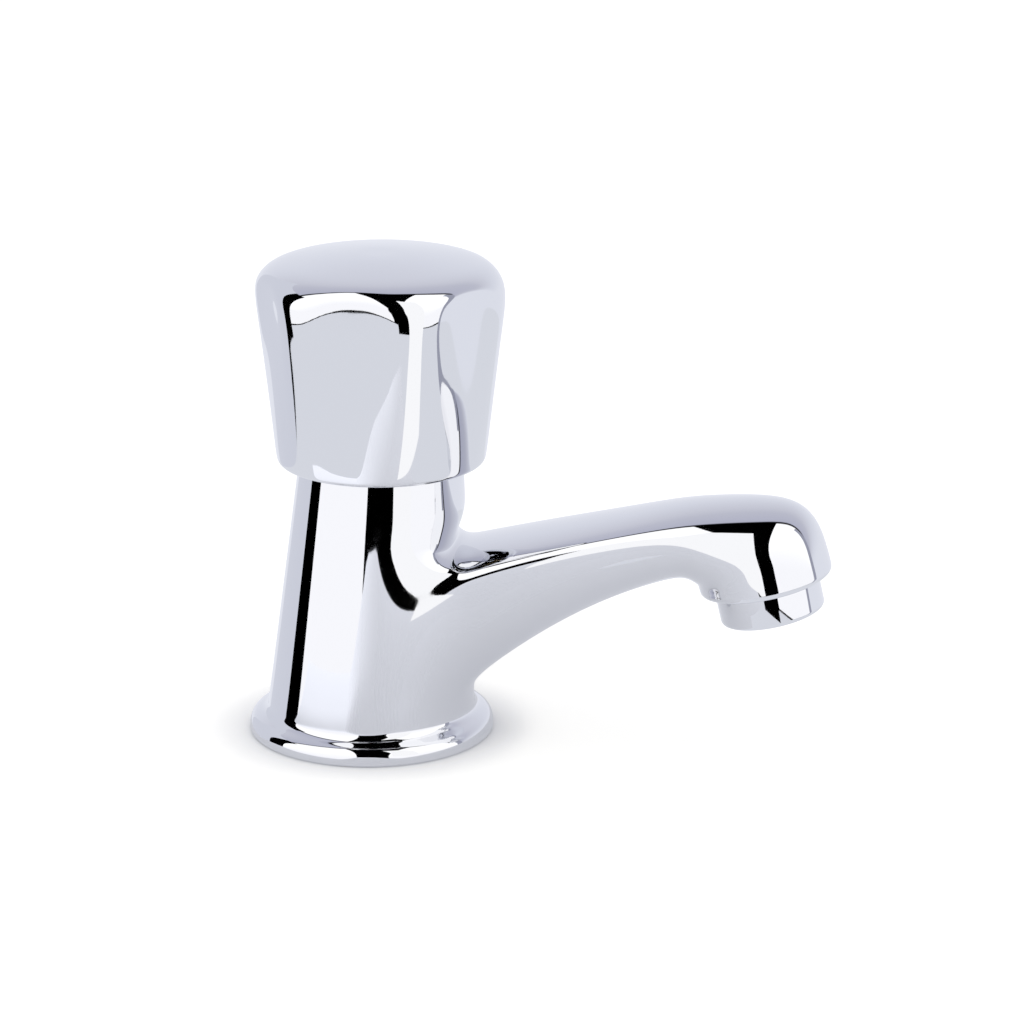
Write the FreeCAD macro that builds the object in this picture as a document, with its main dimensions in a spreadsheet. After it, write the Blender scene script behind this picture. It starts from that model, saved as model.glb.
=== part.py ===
import FreeCAD, Part
import math
import os
import re
import Sketcher

# A pillar basin tap with a turning knob, in millimetres.
# The origin is the middle of the deck flange's underside, +Z is up and +X points along the spout.

Vector = FreeCAD.Vector
Rotation = FreeCAD.Rotation
Placement = FreeCAD.Placement

driving_sizes = [
    # deck flange and leaning column
    ("flange_radius", 26.0, "deck flange, outer radius"),
    ("flange_rise", 1.6, "upright edge of the flange"),
    ("flange_round", 2.4, "rounded rim of the flange"),
    ("flange_slope", 24.0, "slope of the flange's top, degrees"),
    ("flange_bevel", 0.4, "broken bottom edge of the flange"),
    ("foot_radius", 22.1, "column where it stands on the flange"),
    ("foot_cove", 1.7, "cove between flange and column"),
    ("column_top", 61.0, "height of the column's top face"),
    ("column_top_radius", 17.1, "column at its top face"),
    ("column_edge", 0.5, "rounded edge of the top face"),
    ("valve_offset", 2.7, "the column leans: the valve axis stands this far towards the spout"),
    # spout, measured back from the outlet axis and square to the rise
    ("spout_reach", 85.5, "outlet centre from the flange centre"),
    ("outlet_height", 29.2, "outlet centre above the deck"),
    ("spout_rise", 12.7, "rise of the spout, degrees"),
    ("root_back", 74.0, "section inside the column"),
    ("root_top", 27.0, "its top line"),
    ("root_widest", 18.5, "its widest line"),
    ("root_under", -5.5, "its underside"),
    ("root_half", 16.0, "its half width"),
    ("web_back", 60.0, "section where the spout leaves the column"),
    ("web_top", 27.0, "its top line"),
    ("web_widest", 22.3, "its widest line"),
    ("web_under", 0.0, "its underside"),
    ("web_half", 14.2, "its half width"),
    ("flank_back", 46.0, "section at a third of the spout"),
    ("flank_top", 27.0, "its top line"),
    ("flank_widest", 23.6, "its widest line"),
    ("flank_under", 5.9, "its underside"),
    ("flank_half", 12.6, "its half width"),
    ("waist_back", 34.0, "section at half of the spout"),
    ("waist_top", 27.1, "its top line"),
    ("waist_widest", 23.9, "its widest line"),
    ("waist_under", 9.7, "its underside"),
    ("waist_half", 11.7, "its half width"),
    ("neck_back", 22.0, "slimmest section"),
    ("neck_top", 27.2, "its top line"),
    ("neck_widest", 23.5, "its widest line"),
    ("neck_under", 11.6, "its underside"),
    ("neck_half", 11.5, "its half width"),
    ("throat_back", 11.0, "section where the head begins"),
    ("throat_top", 27.4, "its top line"),
    ("throat_widest", 20.5, "its widest line"),
    ("throat_under", 12.0, "its underside"),
    ("throat_half", 12.0, "its half width"),
    ("crown_top", 24.8, "section on the outlet axis: its top line"),
    ("crown_widest", 19.0, "its widest line"),
    ("crown_under", 13.0, "its underside"),
    ("crown_half", 11.0, "its half width"),
    ("head_radius", 14.0, "round head over the outlet, at its lip"),
    ("head_waist_radius", 13.5, "head where its shoulder starts"),
    ("head_top", 25.1, "top of the head above the outlet plane"),
    ("head_shoulder", 9.0, "radius of the head's shoulder"),
    ("head_floor", 7.0, "lip of the head above the outlet plane"),
    ("head_lip", 1.2, "radius of the lip"),
    ("saddle_round", 5.0, "blend between column and spout"),
    ("chin_round", 3.0, "blend between spout and head"),
    # waterway and bores of the body
    ("pipe_thread_radius", 10.48, "outside radius of a G1/2 thread"),
    ("thread_clearance", 0.02, "between a thread and its bore"),
    ("valve_bore_floor", 44.5, "lower end of the bore that the headwork screws into"),
    ("chamber_radius", 9.6, "valve chamber"),
    ("seat_height", 26.0, "face of the valve seat"),
    ("seat_rise", 1.5, "how far the seat stands above the floor of the chamber"),
    ("seat_radius", 7.2, "outer edge of the seat"),
    ("seat_bore", 5.5, "hole through the seat"),
    ("bore_bevel", 0.6, "bevel at the mouth of the valve bore"),
    ("port_height", 33.0, "middle of the port from the chamber to the spout"),
    ("waterway_radius", 5.5, "water passage in the spout"),
    ("waterway_height", 19.3, "passage above the outlet plane, at the outlet axis"),
    ("waterway_bend", 50.0, "radius of the passage's bend"),
    ("drop_radius", 7.5, "well above the outlet"),
    ("drop_top", 22.0, "top of that well above the outlet plane"),
    ("tail_depth", 10.0, "depth of the bore that the tail screws into"),
    ("base_hollow_inner", 13.2, "hollow under the body, around the tail boss"),
    ("base_hollow_outer", 16.8, "its outer wall"),
    ("base_hollow_height", 20.0, "its height"),
    ("gasket_margin", 2.4, "from the flange's rim to the foam ring under it"),
    ("gasket_width", 5.0, "width of that ring"),
    ("gasket_thickness", 2.0, "its thickness, flush with the flange"),
    ("loose_clearance", 0.1, "room around parts that only lie in place"),
    # threaded tail and what clamps it
    ("tail_length", 46.0, "tail below the deck"),
    ("tail_bore", 7.0, "water hole of the tail"),
    ("tail_bevel", 0.8, "lead-in of the thread"),
    ("supply_thread", 12.0, "thread that the supply hose takes"),
    ("relief_width", 2.0, "groove between the two threads"),
    ("relief_radius", 9.7, "bottom of that groove"),
    ("tail_seal_thickness", 1.2, "fibre ring on the tail's end"),
    ("deck_thickness", 20.0, "deck that the tap clamps"),
    ("nut_washer_radius", 17.5, "washer under the deck"),
    ("nut_washer_thickness", 2.0, "its thickness"),
    ("nut_flats", 30.0, "backnut across its flats"),
    ("nut_height", 8.0, "backnut"),
    ("nut_collar_radius", 16.5, "collar on the backnut"),
    ("nut_collar_height", 1.5, "its thickness"),
    ("nut_clearance", 0.04, "between tail thread and backnut"),
    # headwork
    ("bonnet_floor", 40.0, "lower end of the bonnet's skirt"),
    ("bonnet_skirt_radius", 9.2, "skirt in the chamber"),
    ("bonnet_thread_start", 45.0, "lower end of the bonnet's thread"),
    ("bonnet_seal_radius", 14.2, "sealing washer, outer radius"),
    ("bonnet_seal_thickness", 1.2, "its thickness"),
    ("bonnet_flats", 24.0, "hexagon for the spanner"),
    ("bonnet_hex_height", 6.8, "its height"),
    ("bonnet_neck_radius", 8.0, "neck above the hexagon"),
    ("bonnet_neck_height", 7.5, "its height"),
    ("bonnet_bevel", 0.8, "bevels on the hexagon and the neck"),
    ("collar_seat", 63.0, "shoulder that the spindle's collar turns under"),
    ("carrier_flats", 12.0, "hexagonal stem of the valve carrier"),
    ("guide_clearance", 0.05, "between the stem and its guide, each side"),
    ("journal_radius", 4.77, "spindle in the bonnet"),
    ("journal_clearance", 0.03, "running clearance of the spindle"),
    ("spindle_thread_radius", 4.0, "lifting thread of the spindle"),
    ("spindle_thread_clearance", 0.05, "between the lifting thread and the carrier"),
    ("spindle_floor", 40.2, "lower end of the spindle"),
    ("spindle_collar_radius", 5.9, "collar that takes the water's push"),
    ("spindle_collar_height", 2.4, "its height"),
    ("end_play", 0.05, "lift of the spindle between collar and clip"),
    ("ring_groove_depth", 1.27, "grooves of the sealing rings"),
    ("ring_groove_width", 1.8, "their width"),
    ("ring_section", 0.62, "sealing ring, radius of its section"),
    ("ring_lower_height", 67.0, "lower sealing ring"),
    ("ring_upper_height", 71.0, "upper sealing ring"),
    ("thrust_washer_radius", 7.6, "washer under the clip"),
    ("thrust_washer_thickness", 0.8, "its thickness"),
    ("clip_groove_radius", 4.0, "bottom of the clip's groove"),
    ("clip_radius", 6.4, "clip, outer radius"),
    ("clip_thickness", 1.0, "its thickness"),
    ("clip_gap", 3.0, "opening of the clip"),
    ("clip_eye_radius", 1.2, "eyes at the clip's ends"),
    ("clip_eye_hole", 0.5, "holes for the pliers"),
    ("clip_land", 0.45, "solid shoulder above the clip's groove"),
    ("spindle_bevel", 0.4, "broken lower end of the spindle"),
    ("spline_length", 12.5, "splined end of the spindle"),
    ("spline_radius", 4.0, "over the splines"),
    ("spline_depth", 0.4, "depth of the splines"),
    ("spline_count", 20, "number of splines"),
    ("notch_half", 0.32, "half width of a notch between two splines"),
    ("carrier_plate_radius", 8.8, "plate over the tap washer"),
    ("carrier_plate_thickness", 2.0, "its thickness"),
    ("carrier_top", 54.0, "upper end of the carrier, closed"),
    ("carrier_web", 1.0, "solid web between the plate and its threaded hole"),
    ("tap_washer_radius", 8.2, "rubber washer"),
    ("tap_washer_thickness", 4.0, "its thickness"),
    ("stud_radius", 2.4, "stud through the washer"),
    ("stud_length", 3.4, "stud below the washer"),
    ("stud_clearance", 0.1, "around the stud"),
    ("washer_nut_flats", 8.0, "nut under the washer"),
    ("washer_nut_height", 2.8, "its height"),
    # knob
    ("knob_turn", -2.5, "the knob's closed position about the valve axis, degrees"),
    ("knob_floor", 59.6, "open lower rim of the knob"),
    ("knob_skirt_radius", 21.9, "knob at its lower rim"),
    ("knob_edge_radius", 27.1, "corner of cone and crown, before it is rounded"),
    ("knob_edge_height", 100.1, "height of that corner"),
    ("knob_top", 104.1, "top of the crown"),
    ("knob_shoulder", 7.5, "rounded corner of cone and crown"),
    ("knob_rim_round", 0.8, "rounded lower rim"),
    ("flute_count", 6, "flutes around the knob"),
    ("flute_half_angle", 23.0, "half of a flute's width about the axis, degrees"),
    ("flute_hollow", 56.0, "radius of a flute's hollow at the top"),
    ("flute_runout", 0.15, "how far outside the skirt a flute starts at the rim"),
    ("flute_reach", 5.0, "how far the tool that cuts a flute stands out from the skirt"),
    ("knob_inner_low", 19.4, "inside of the skirt at the rim"),
    ("knob_inner_high", 21.2, "inside of the skirt under the crown"),
    ("knob_inner_height", 93.5, "height where the crown's inside begins"),
    ("knob_ceiling", 99.4, "inside of the crown"),
    ("knob_ceiling_radius", 16.5, "flat of that inside"),
    ("hub_radius", 9.8, "hub inside the knob"),
    ("hub_floor", 80.0, "lower end of the hub"),
    ("insert_radius", 7.0, "splined brass bush in the hub"),
    ("insert_top", 93.0, "its upper end"),
    ("insert_collar_radius", 8.8, "collar under the hub"),
    ("insert_clearance", 0.05, "around the bush and around the splines"),
    ("insert_end_gap", 0.5, "room over the spindle's end"),
    ("screw_height", 86.0, "grub screw above the deck"),
    ("screw_radius", 2.5, "grub screw"),
    ("screw_length", 5.4, "its length"),
    ("screw_clearance", 0.05, "around its thread"),
    ("screw_point_bevel", 0.7, "bevel of its point"),
    ("screw_socket_flats", 2.5, "hexagonal socket"),
    ("screw_socket_depth", 2.2, "its depth"),
    ("screw_access", 3.0, "hole in the knob's skirt for the key"),
    # nozzle and aerator, measured up from the outlet plane
    ("nozzle_radius", 11.0, "outlet collar"),
    ("nozzle_edge", 1.0, "rounded outlet edge"),
    ("nozzle_sink", 1.5, "how far the collar enters the head"),
    ("nozzle_neck_radius", 9.9, "threaded neck of the collar"),
    ("nozzle_neck_top", 13.0, "its upper end"),
    ("nozzle_clearance", 0.1, "around collar and neck"),
    ("nozzle_bore", 9.3, "bore that holds the aerator"),
    ("nozzle_lip_radius", 8.5, "lip that holds the aerator in"),
    ("nozzle_lip_height", 1.2, "its thickness"),
    ("aerator_clearance", 0.05, "around the aerator"),
    ("aerator_height", 7.4, "flow straightener"),
    ("aerator_hole", 0.8, "its holes"),
    ("aerator_inner_ring", 3.2, "inner circle of holes"),
    ("aerator_outer_ring", 6.4, "outer circle of holes"),
    ("screen_thickness", 0.4, "wire screens"),
    ("nozzle_seal_inner", 7.6, "rubber seal above the collar"),
    ("nozzle_seal_thickness", 1.6, "its thickness"),
]

doc = FreeCAD.newDocument("basin_tap")
sheet = doc.addObject("Spreadsheet::Sheet", "sizes")
for row, (alias, number, meaning) in enumerate(driving_sizes, 1):
    sheet.set("A%d" % row, meaning)
    sheet.set("B%d" % row, str(number))
    sheet.setAlias("B%d" % row, alias)
doc.recompute()

size_names = {alias for alias, number, meaning in driving_sizes}


def bind(text):
    """The expression with every size name pointing into the sheet."""
    def point_at_cell(match):
        word = match.group(0)
        return "sizes." + word if word in size_names else word
    return re.sub(r"[a-z_]+", point_at_cell, text)


def value(text):
    return float(sheet.evalExpression(bind(text)))


def tie(thing, prop, text):
    thing.setExpression(prop, bind(text))


def origin_part(body, role):
    return next(part for part in body.Origin.OriginFeatures if part.Role == role)


# Frames of the pieces: on the flange centre, on the valve axis, turned with the knob, at the outlet

def place(piece, x="0", z="0", axis=Vector(0, 0, 1), turn="0"):
    piece.Placement = Placement(Vector(value(x), 0, value(z)), Rotation(axis, value(turn)))
    tie(piece, "Placement.Base.x", x)
    tie(piece, "Placement.Base.z", z)
    tie(piece, "Placement.Rotation.Angle", turn)


def new_body(label):
    body = doc.addObject("PartDesign::Body", label)
    body.Label = label
    return body


def flange_body(label):
    body = new_body(label)
    place(body)
    return body


def valve_body(label):
    body = new_body(label)
    place(body, x="valve_offset")
    return body


def knob_body(label):
    body = new_body(label)
    place(body, x="valve_offset", turn="knob_turn")
    return body


def outlet_body(label):
    body = new_body(label)
    place(body, x="spout_reach", z="outlet_height", axis=Vector(0, -1, 0), turn="spout_rise")
    return body


# Sketches and features

def new_sketch(body, name, role="XZ_Plane", x="0", y="0", z="0", axis=Vector(0, 0, 1), turn="0"):
    sketch = body.newObject("Sketcher::SketchObject", name)
    sketch.AttachmentSupport = [(origin_part(body, role), "")]
    sketch.MapMode = "FlatFace"
    sketch.AttachmentOffset = Placement(Vector(value(x), value(y), value(z)), Rotation(axis, value(turn)))
    tie(sketch, "AttachmentOffset.Base.x", x)
    tie(sketch, "AttachmentOffset.Base.y", y)
    tie(sketch, "AttachmentOffset.Base.z", z)
    tie(sketch, "AttachmentOffset.Rotation.Angle", turn)
    return sketch


def constrain(sketch, kind, *rest):
    """A dimension whose last argument is an expression."""
    *where, text = rest
    index = sketch.addConstraint(Sketcher.Constraint(kind, *where, value(text)))
    tie(sketch, "Constraints[%d]" % index, text)


def arc_between(start, end, radius):
    """The short arc from start to end that turns left for a positive radius and right for a negative one."""
    chord = end - start
    side = Vector(-chord.y, chord.x, 0).normalize() * math.copysign(1, radius)
    rise = math.sqrt(max(radius ** 2 - (chord.Length / 2) ** 2, 0))
    centre = start + chord * 0.5 + side * rise
    middle = centre - side * abs(radius)
    return Part.Arc(start, middle, end)


def draw_outline(sketch, points):
    """A closed outline. A third value is the radius of the arc that arrives at the point."""
    corners = [Vector(value(point[0]), value(point[1]), 0) for point in points]
    ends = []
    for i, point in enumerate(points):
        if len(point) == 2:
            edge = sketch.addGeometry(Part.LineSegment(corners[i - 1], corners[i]), False)
            ends.append((edge, 1, 2))
        else:
            edge = sketch.addGeometry(arc_between(corners[i - 1], corners[i], value(point[2])), False)
            constrain(sketch, "Radius", edge, "abs(%s)" % point[2])
            ends.append((edge, 1, 2) if value(point[2]) > 0 else (edge, 2, 1))
    for i, point in enumerate(points):
        edge, first, last = ends[i]
        following, start, end = ends[(i + 1) % len(points)]
        sketch.addConstraint(Sketcher.Constraint("Coincident", edge, last, following, start))
        constrain(sketch, "DistanceX", -1, 1, edge, last, point[0])
        constrain(sketch, "DistanceY", -1, 1, edge, last, point[1])


def draw_circle(sketch, radius, x="0", y="0"):
    centre = Vector(value(x), value(y), 0)
    circle = sketch.addGeometry(Part.Circle(centre, Vector(0, 0, 1), value(radius)), False)
    constrain(sketch, "Radius", circle, radius)
    constrain(sketch, "DistanceX", -1, 1, circle, 3, x)
    constrain(sketch, "DistanceY", -1, 1, circle, 3, y)


def revolve(body, name, points, kind="Revolution", role="XZ_Plane", **where):
    """Turns an outline about its sketch's upright axis, to add it or, with Groove, to take it away."""
    sketch = new_sketch(body, name + "_outline", role, **where)
    draw_outline(sketch, points)
    feature = body.newObject("PartDesign::" + kind, name)
    feature.Profile = sketch
    feature.ReferenceAxis = (sketch, ["V_Axis"])
    feature.Angle = 360
    doc.recompute()
    return feature


def groove(body, name, points, **where):
    before = body.Shape.Volume
    feature = revolve(body, name, points, "Groove", **where)
    if body.Shape.Volume >= before:
        raise RuntimeError(name + " removes nothing")
    return feature


def extrude(body, name, sketch, kind, length, reverse=False):
    feature = body.newObject("PartDesign::" + kind, name)
    feature.Profile = sketch
    tie(feature, "Length", length)
    feature.Reversed = reverse
    doc.recompute()
    return feature


def pocket(body, name, sketch, length, reverse=False):
    before = body.Shape.Volume
    feature = extrude(body, name, sketch, "Pocket", length, reverse)
    if body.Shape.Volume >= before:
        raise RuntimeError(name + " removes nothing")
    return feature


def hexagon(body, name, flats, height, floor, kind="AdditivePrism", role="XY_Plane"):
    prism = body.newObject("PartDesign::" + kind, name)
    prism.AttachmentSupport = [(origin_part(body, role), "")]
    prism.MapMode = "FlatFace"
    tie(prism, "AttachmentOffset.Base.z", floor)
    prism.Polygon = 6
    tie(prism, "Circumradius", "(%s) / 2 / cos(30)" % flats)
    tie(prism, "Height", height)
    doc.recompute()
    return prism


def polar(body, name, feature, count):
    pattern = body.newObject("PartDesign::PolarPattern", name)
    pattern.Originals = [feature]
    pattern.Axis = (origin_part(body, "Z_Axis"), [""])
    pattern.Angle = 360
    tie(pattern, "Occurrences", count)
    body.Tip = pattern
    doc.recompute()
    return pattern


# how near two points of the model lie when they count as one
same_place = 1e-3


def edges_where(feature, test):
    return ["Edge%d" % (i + 1) for i, edge in enumerate(feature.Shape.Edges) if test(edge)]


def ring_edges(feature, radius, centre):
    """Round edges of this radius about this point."""
    def is_ring(edge):
        if edge.Degenerated or not isinstance(edge.Curve, Part.Circle):
            return False
        off_centre = edge.Curve.Center.distanceToPoint(centre)
        return abs(edge.Curve.Radius - radius) < same_place and off_centre < same_place
    return edges_where(feature, is_ring)


def level_edges(feature, radius, height):
    return ring_edges(feature, value(radius), Vector(0, 0, value(height)))


def soften(body, name, edges, amount, kind="Fillet"):
    """Rounds edges of the body's tip, or bevels them with Chamfer."""
    if not edges:
        raise RuntimeError(name + " finds no edge")
    base = body.Tip
    feature = body.newObject("PartDesign::" + kind, name)
    feature.Base = (base, edges)
    tie(feature, "Radius" if kind == "Fillet" else "Size", amount)
    doc.recompute()
    return feature


def ring(body, name, inner, outer, low, high):
    """A plain washer or disc."""
    return revolve(body, name, [(inner, low), (outer, low), (outer, high), (inner, high)])


# Spout arm: a loft through ovals square to the rise, each two half ellipses that meet at its widest line

def half_ellipse(section, half, height, widest, upper):
    """The half of an ellipse over or under the widest line. Returns the arc and its level axis."""
    centre = Vector(0, value(widest), 0)
    upright = Vector(0, value(height), 0)
    across = Vector(value(half), 0, 0)
    tall = value(height) > value(half)
    long_axis, short_axis = (upright, across.negative()) if tall else (across, upright)
    whole = Part.Ellipse(centre + long_axis, centre + short_axis, centre)
    start = (0 if upper else math.pi) - (math.pi / 2 if tall else 0)
    arc = section.addGeometry(Part.ArcOfEllipse(whole, start, start + math.pi), False)
    section.exposeInternalGeometry(arc)
    long_line, short_line = arc + 1, arc + 2
    constrain(section, "DistanceY", -1, 1, arc, 3, widest)
    section.addConstraint(Sketcher.Constraint("Vertical" if tall else "Horizontal", long_line))
    upright_line, level_line = (long_line, short_line) if tall else (short_line, long_line)
    constrain(section, "Distance", upright_line, "2 * (%s)" % height)
    return arc, level_line


def oval(body, name, back, top, widest, under, half):
    section = new_sketch(
        body, name, "YZ_Plane",
        y="outlet_height - (%s) * sin(spout_rise)" % back,
        z="spout_reach - (%s) * cos(spout_rise)" % back,
        axis=Vector(1, 0, 0), turn="-spout_rise",
    )
    upper, level_line = half_ellipse(section, half, "%s - %s" % (top, widest), widest, True)
    constrain(section, "DistanceX", -1, 1, upper, 3, "0")
    constrain(section, "Distance", level_line, "2 * %s" % half)
    constrain(section, "DistanceY", -1, 1, upper, 1, widest)
    constrain(section, "DistanceY", -1, 1, upper, 2, widest)
    lower, level_line = half_ellipse(section, half, "%s - (%s)" % (widest, under), widest, False)
    section.addConstraint(Sketcher.Constraint("Coincident", lower, 1, upper, 2))
    section.addConstraint(Sketcher.Constraint("Coincident", lower, 2, upper, 1))
    return section


def spout_arm(body):
    root, *others = [
        oval(body, "oval_" + part, back, *[part + side for side in ("_top", "_widest", "_under", "_half")])
        for part, back in (
            ("root", "root_back"),
            ("web", "web_back"),
            ("flank", "flank_back"),
            ("waist", "waist_back"),
            ("neck", "neck_back"),
            ("throat", "throat_back"),
            ("crown", "0"),
        )
    ]
    return loft(body, "spout_arm", root, others)


def loft(body, name, first, others, kind="AdditiveLoft"):
    feature = body.newObject("PartDesign::" + kind, name)
    feature.Profile = first
    feature.Sections = others
    doc.recompute()
    return feature


def seam_edges(feature, one, other):
    """Edges of the feature that lie on the skins of what both the others add."""
    skins = []
    for added in (one, other):
        shape = added.AddSubShape.copy()
        shape.Placement = added.Placement.multiply(shape.Placement)
        skins.append(Part.Compound(shape.Faces))

    def on_both(edge):
        spots = [Part.Vertex(spot) for spot in edge.discretize(5)]
        return all(spot.distToShape(skin)[0] < 2 * same_place for skin in skins for spot in spots)
    return edges_where(feature, on_both)


def at_outlet(height):
    """The point on the outlet axis that lies this far above the outlet plane."""
    rise = math.radians(value("spout_rise"))
    out = value("spout_reach") - value(height) * math.sin(rise)
    up = value("outlet_height") + value(height) * math.cos(rise)
    return Vector(out, 0, up)


outlet_frame = {"x": "spout_reach", "y": "outlet_height", "turn": "spout_rise"}

# where the rounded rim of the flange goes over into its sloping top
brim_radius = "(flange_radius - flange_round * (1 - sin(flange_slope)))"
brim_height = "(flange_rise + flange_round * cos(flange_slope))"


def foot_height():
    """Where the sloping top of the flange meets the column."""
    return "%s + (%s - foot_radius) * tan(flange_slope)" % (brim_height, brim_radius)


def tap_body():
    body = flange_body("tap_body")
    arm = spout_arm(body)

    # leaning column, an oblique cone between two level circles
    foot = new_sketch(body, "column_foot", "XY_Plane", z=foot_height())
    draw_circle(foot, "foot_radius")
    head_ring = new_sketch(body, "column_head", "XY_Plane", x="valve_offset", z="column_top")
    draw_circle(head_ring, "column_top_radius")
    column = loft(body, "column", foot, [head_ring])

    revolve(body, "flange", [
        ("0", "0"),
        ("flange_radius - flange_bevel", "0"),
        ("flange_radius", "flange_bevel"),
        ("flange_radius", "flange_rise"),
        (brim_radius, brim_height, "flange_round"),
        ("foot_radius", foot_height()),
        ("0", foot_height()),
    ])
    head = revolve(body, "head", [
        ("0", "head_floor"),
        ("head_radius", "head_floor"),
        ("head_waist_radius", "head_top - head_shoulder"),
        ("head_waist_radius - head_shoulder", "head_top", "head_shoulder"),
        ("0", "head_top"),
    ], **outlet_frame)

    soften(body, "saddle", seam_edges(body.Tip, arm, column), "saddle_round")
    soften(body, "chin", seam_edges(body.Tip, arm, head), "chin_round")
    soften(body, "cove", level_edges(body.Tip, "foot_radius", foot_height()), "foot_cove")
    lip_centre = at_outlet("head_floor")
    soften(body, "lip", ring_edges(body.Tip, value("head_radius"), lip_centre), "head_lip")
    top_centre = Vector(value("valve_offset"), 0, value("column_top"))
    soften(body, "top_edge", ring_edges(body.Tip, value("column_top_radius"), top_centre), "column_edge")

    # water comes up through the tail and the seat, and leaves the chamber through the port
    thread_bore = "pipe_thread_radius + thread_clearance"
    groove(body, "tail_socket", [
        ("0", "0"),
        (thread_bore, "0"),
        (thread_bore, "tail_depth"),
        ("0", "tail_depth"),
    ])
    groove(body, "valve_bore", [
        ("0", "tail_depth"),
        ("seat_bore", "tail_depth"),
        ("seat_bore", "seat_height"),
        ("seat_radius", "seat_height"),
        ("seat_radius", "seat_height - seat_rise"),
        ("chamber_radius", "seat_height - seat_rise"),
        ("chamber_radius", "valve_bore_floor"),
        (thread_bore, "valve_bore_floor"),
        (thread_bore, "column_top - bore_bevel"),
        (thread_bore + " + bore_bevel", "column_top"),
        ("0", "column_top"),
    ], x="valve_offset")
    groove(body, "base_hollow", [
        ("base_hollow_inner", "0"),
        ("base_hollow_outer", "0"),
        ("base_hollow_outer", "base_hollow_height"),
        ("base_hollow_inner", "base_hollow_height"),
    ])
    groove(body, "gasket_groove", [
        ("flange_radius - gasket_margin - gasket_width - loose_clearance", "0"),
        ("flange_radius - gasket_margin + loose_clearance", "0"),
        ("flange_radius - gasket_margin + loose_clearance", "gasket_thickness"),
        ("flange_radius - gasket_margin - gasket_width - loose_clearance", "gasket_thickness"),
    ])
    socket_radius = "nozzle_radius + nozzle_clearance"
    neck_radius = "nozzle_neck_radius + nozzle_clearance"
    groove(body, "outlet_socket", [
        ("0", "0"),
        (socket_radius, "0"),
        (socket_radius, "head_floor + nozzle_sink"),
        (neck_radius, "head_floor + nozzle_sink"),
        (neck_radius, "nozzle_neck_top + nozzle_seal_thickness"),
        ("drop_radius", "nozzle_neck_top + nozzle_seal_thickness"),
        ("drop_radius", "drop_top"),
        ("0", "drop_top"),
    ], **outlet_frame)
    waterway(body)
    return body


def waterway(body):
    """A round passage, level out of the chamber, then bent to run up the spout."""
    rise = "spout_rise"
    end_x = "(spout_reach - waterway_height * sin(%s))" % rise
    end_z = "(outlet_height + waterway_height * cos(%s))" % rise
    corner_x = "(%s - (%s - port_height) / tan(%s))" % (end_x, end_z, rise)
    tangent = "waterway_bend * tan(%s / 2)" % rise
    route = new_sketch(body, "waterway_route")
    start = Vector(value("valve_offset"), value("port_height"), 0)
    bend_in = Vector(value("%s - %s" % (corner_x, tangent)), value("port_height"), 0)
    bend_out = Vector(
        value("%s + %s * cos(%s)" % (corner_x, tangent, rise)),
        value("port_height + %s * sin(%s)" % (tangent, rise)),
        0,
    )
    end = Vector(value(end_x), value(end_z), 0)
    level = route.addGeometry(Part.LineSegment(start, bend_in), False)
    bend = route.addGeometry(arc_between(bend_in, bend_out, value("waterway_bend")), False)
    climb = route.addGeometry(Part.LineSegment(bend_out, end), False)
    constrain(route, "DistanceX", -1, 1, level, 1, "valve_offset")
    constrain(route, "DistanceY", -1, 1, level, 1, "port_height")
    route.addConstraint(Sketcher.Constraint("Horizontal", level))
    route.addConstraint(Sketcher.Constraint("Tangent", level, 2, bend, 1))
    route.addConstraint(Sketcher.Constraint("Tangent", bend, 2, climb, 1))
    constrain(route, "Radius", bend, "waterway_bend")
    constrain(route, "DistanceX", -1, 1, climb, 2, end_x)
    constrain(route, "DistanceY", -1, 1, climb, 2, end_z)

    mouth = new_sketch(body, "waterway_mouth", "YZ_Plane", y="port_height", z="valve_offset")
    draw_circle(mouth, "waterway_radius")
    before = body.Shape.Volume
    passage = body.newObject("PartDesign::SubtractivePipe", "waterway")
    passage.Profile = mouth
    passage.Spine = route
    doc.recompute()
    if body.Shape.Volume >= before:
        raise RuntimeError("the waterway removes nothing")
    return passage


# Tail under the deck, with its seal, gasket, washer and backnut

def inlet_tail():
    body = flange_body("inlet_tail")
    top = "tail_depth - tail_seal_thickness"
    relief_low = "supply_thread - tail_length"
    revolve(body, "tail", [
        ("tail_bore", "-tail_length"),
        ("pipe_thread_radius - tail_bevel", "-tail_length"),
        ("pipe_thread_radius", "tail_bevel - tail_length"),
        ("pipe_thread_radius", relief_low),
        ("relief_radius", relief_low),
        ("relief_radius", relief_low + " + relief_width"),
        ("pipe_thread_radius", relief_low + " + relief_width"),
        ("pipe_thread_radius", top),
        ("tail_bore", top),
    ])
    return body


def tail_seal():
    body = flange_body("tail_seal")
    ring(body, "seal", "tail_bore + loose_clearance", "pipe_thread_radius - loose_clearance",
         "tail_depth - tail_seal_thickness", "tail_depth")
    return body


def deck_gasket():
    body = flange_body("deck_gasket")
    outer = "flange_radius - gasket_margin"
    ring(body, "gasket", outer + " - gasket_width", outer, "0", "gasket_thickness")
    return body


def tail_washer():
    body = flange_body("tail_washer")
    ring(body, "washer", "pipe_thread_radius + loose_clearance", "nut_washer_radius",
         "-deck_thickness - nut_washer_thickness", "-deck_thickness")
    return body


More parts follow.
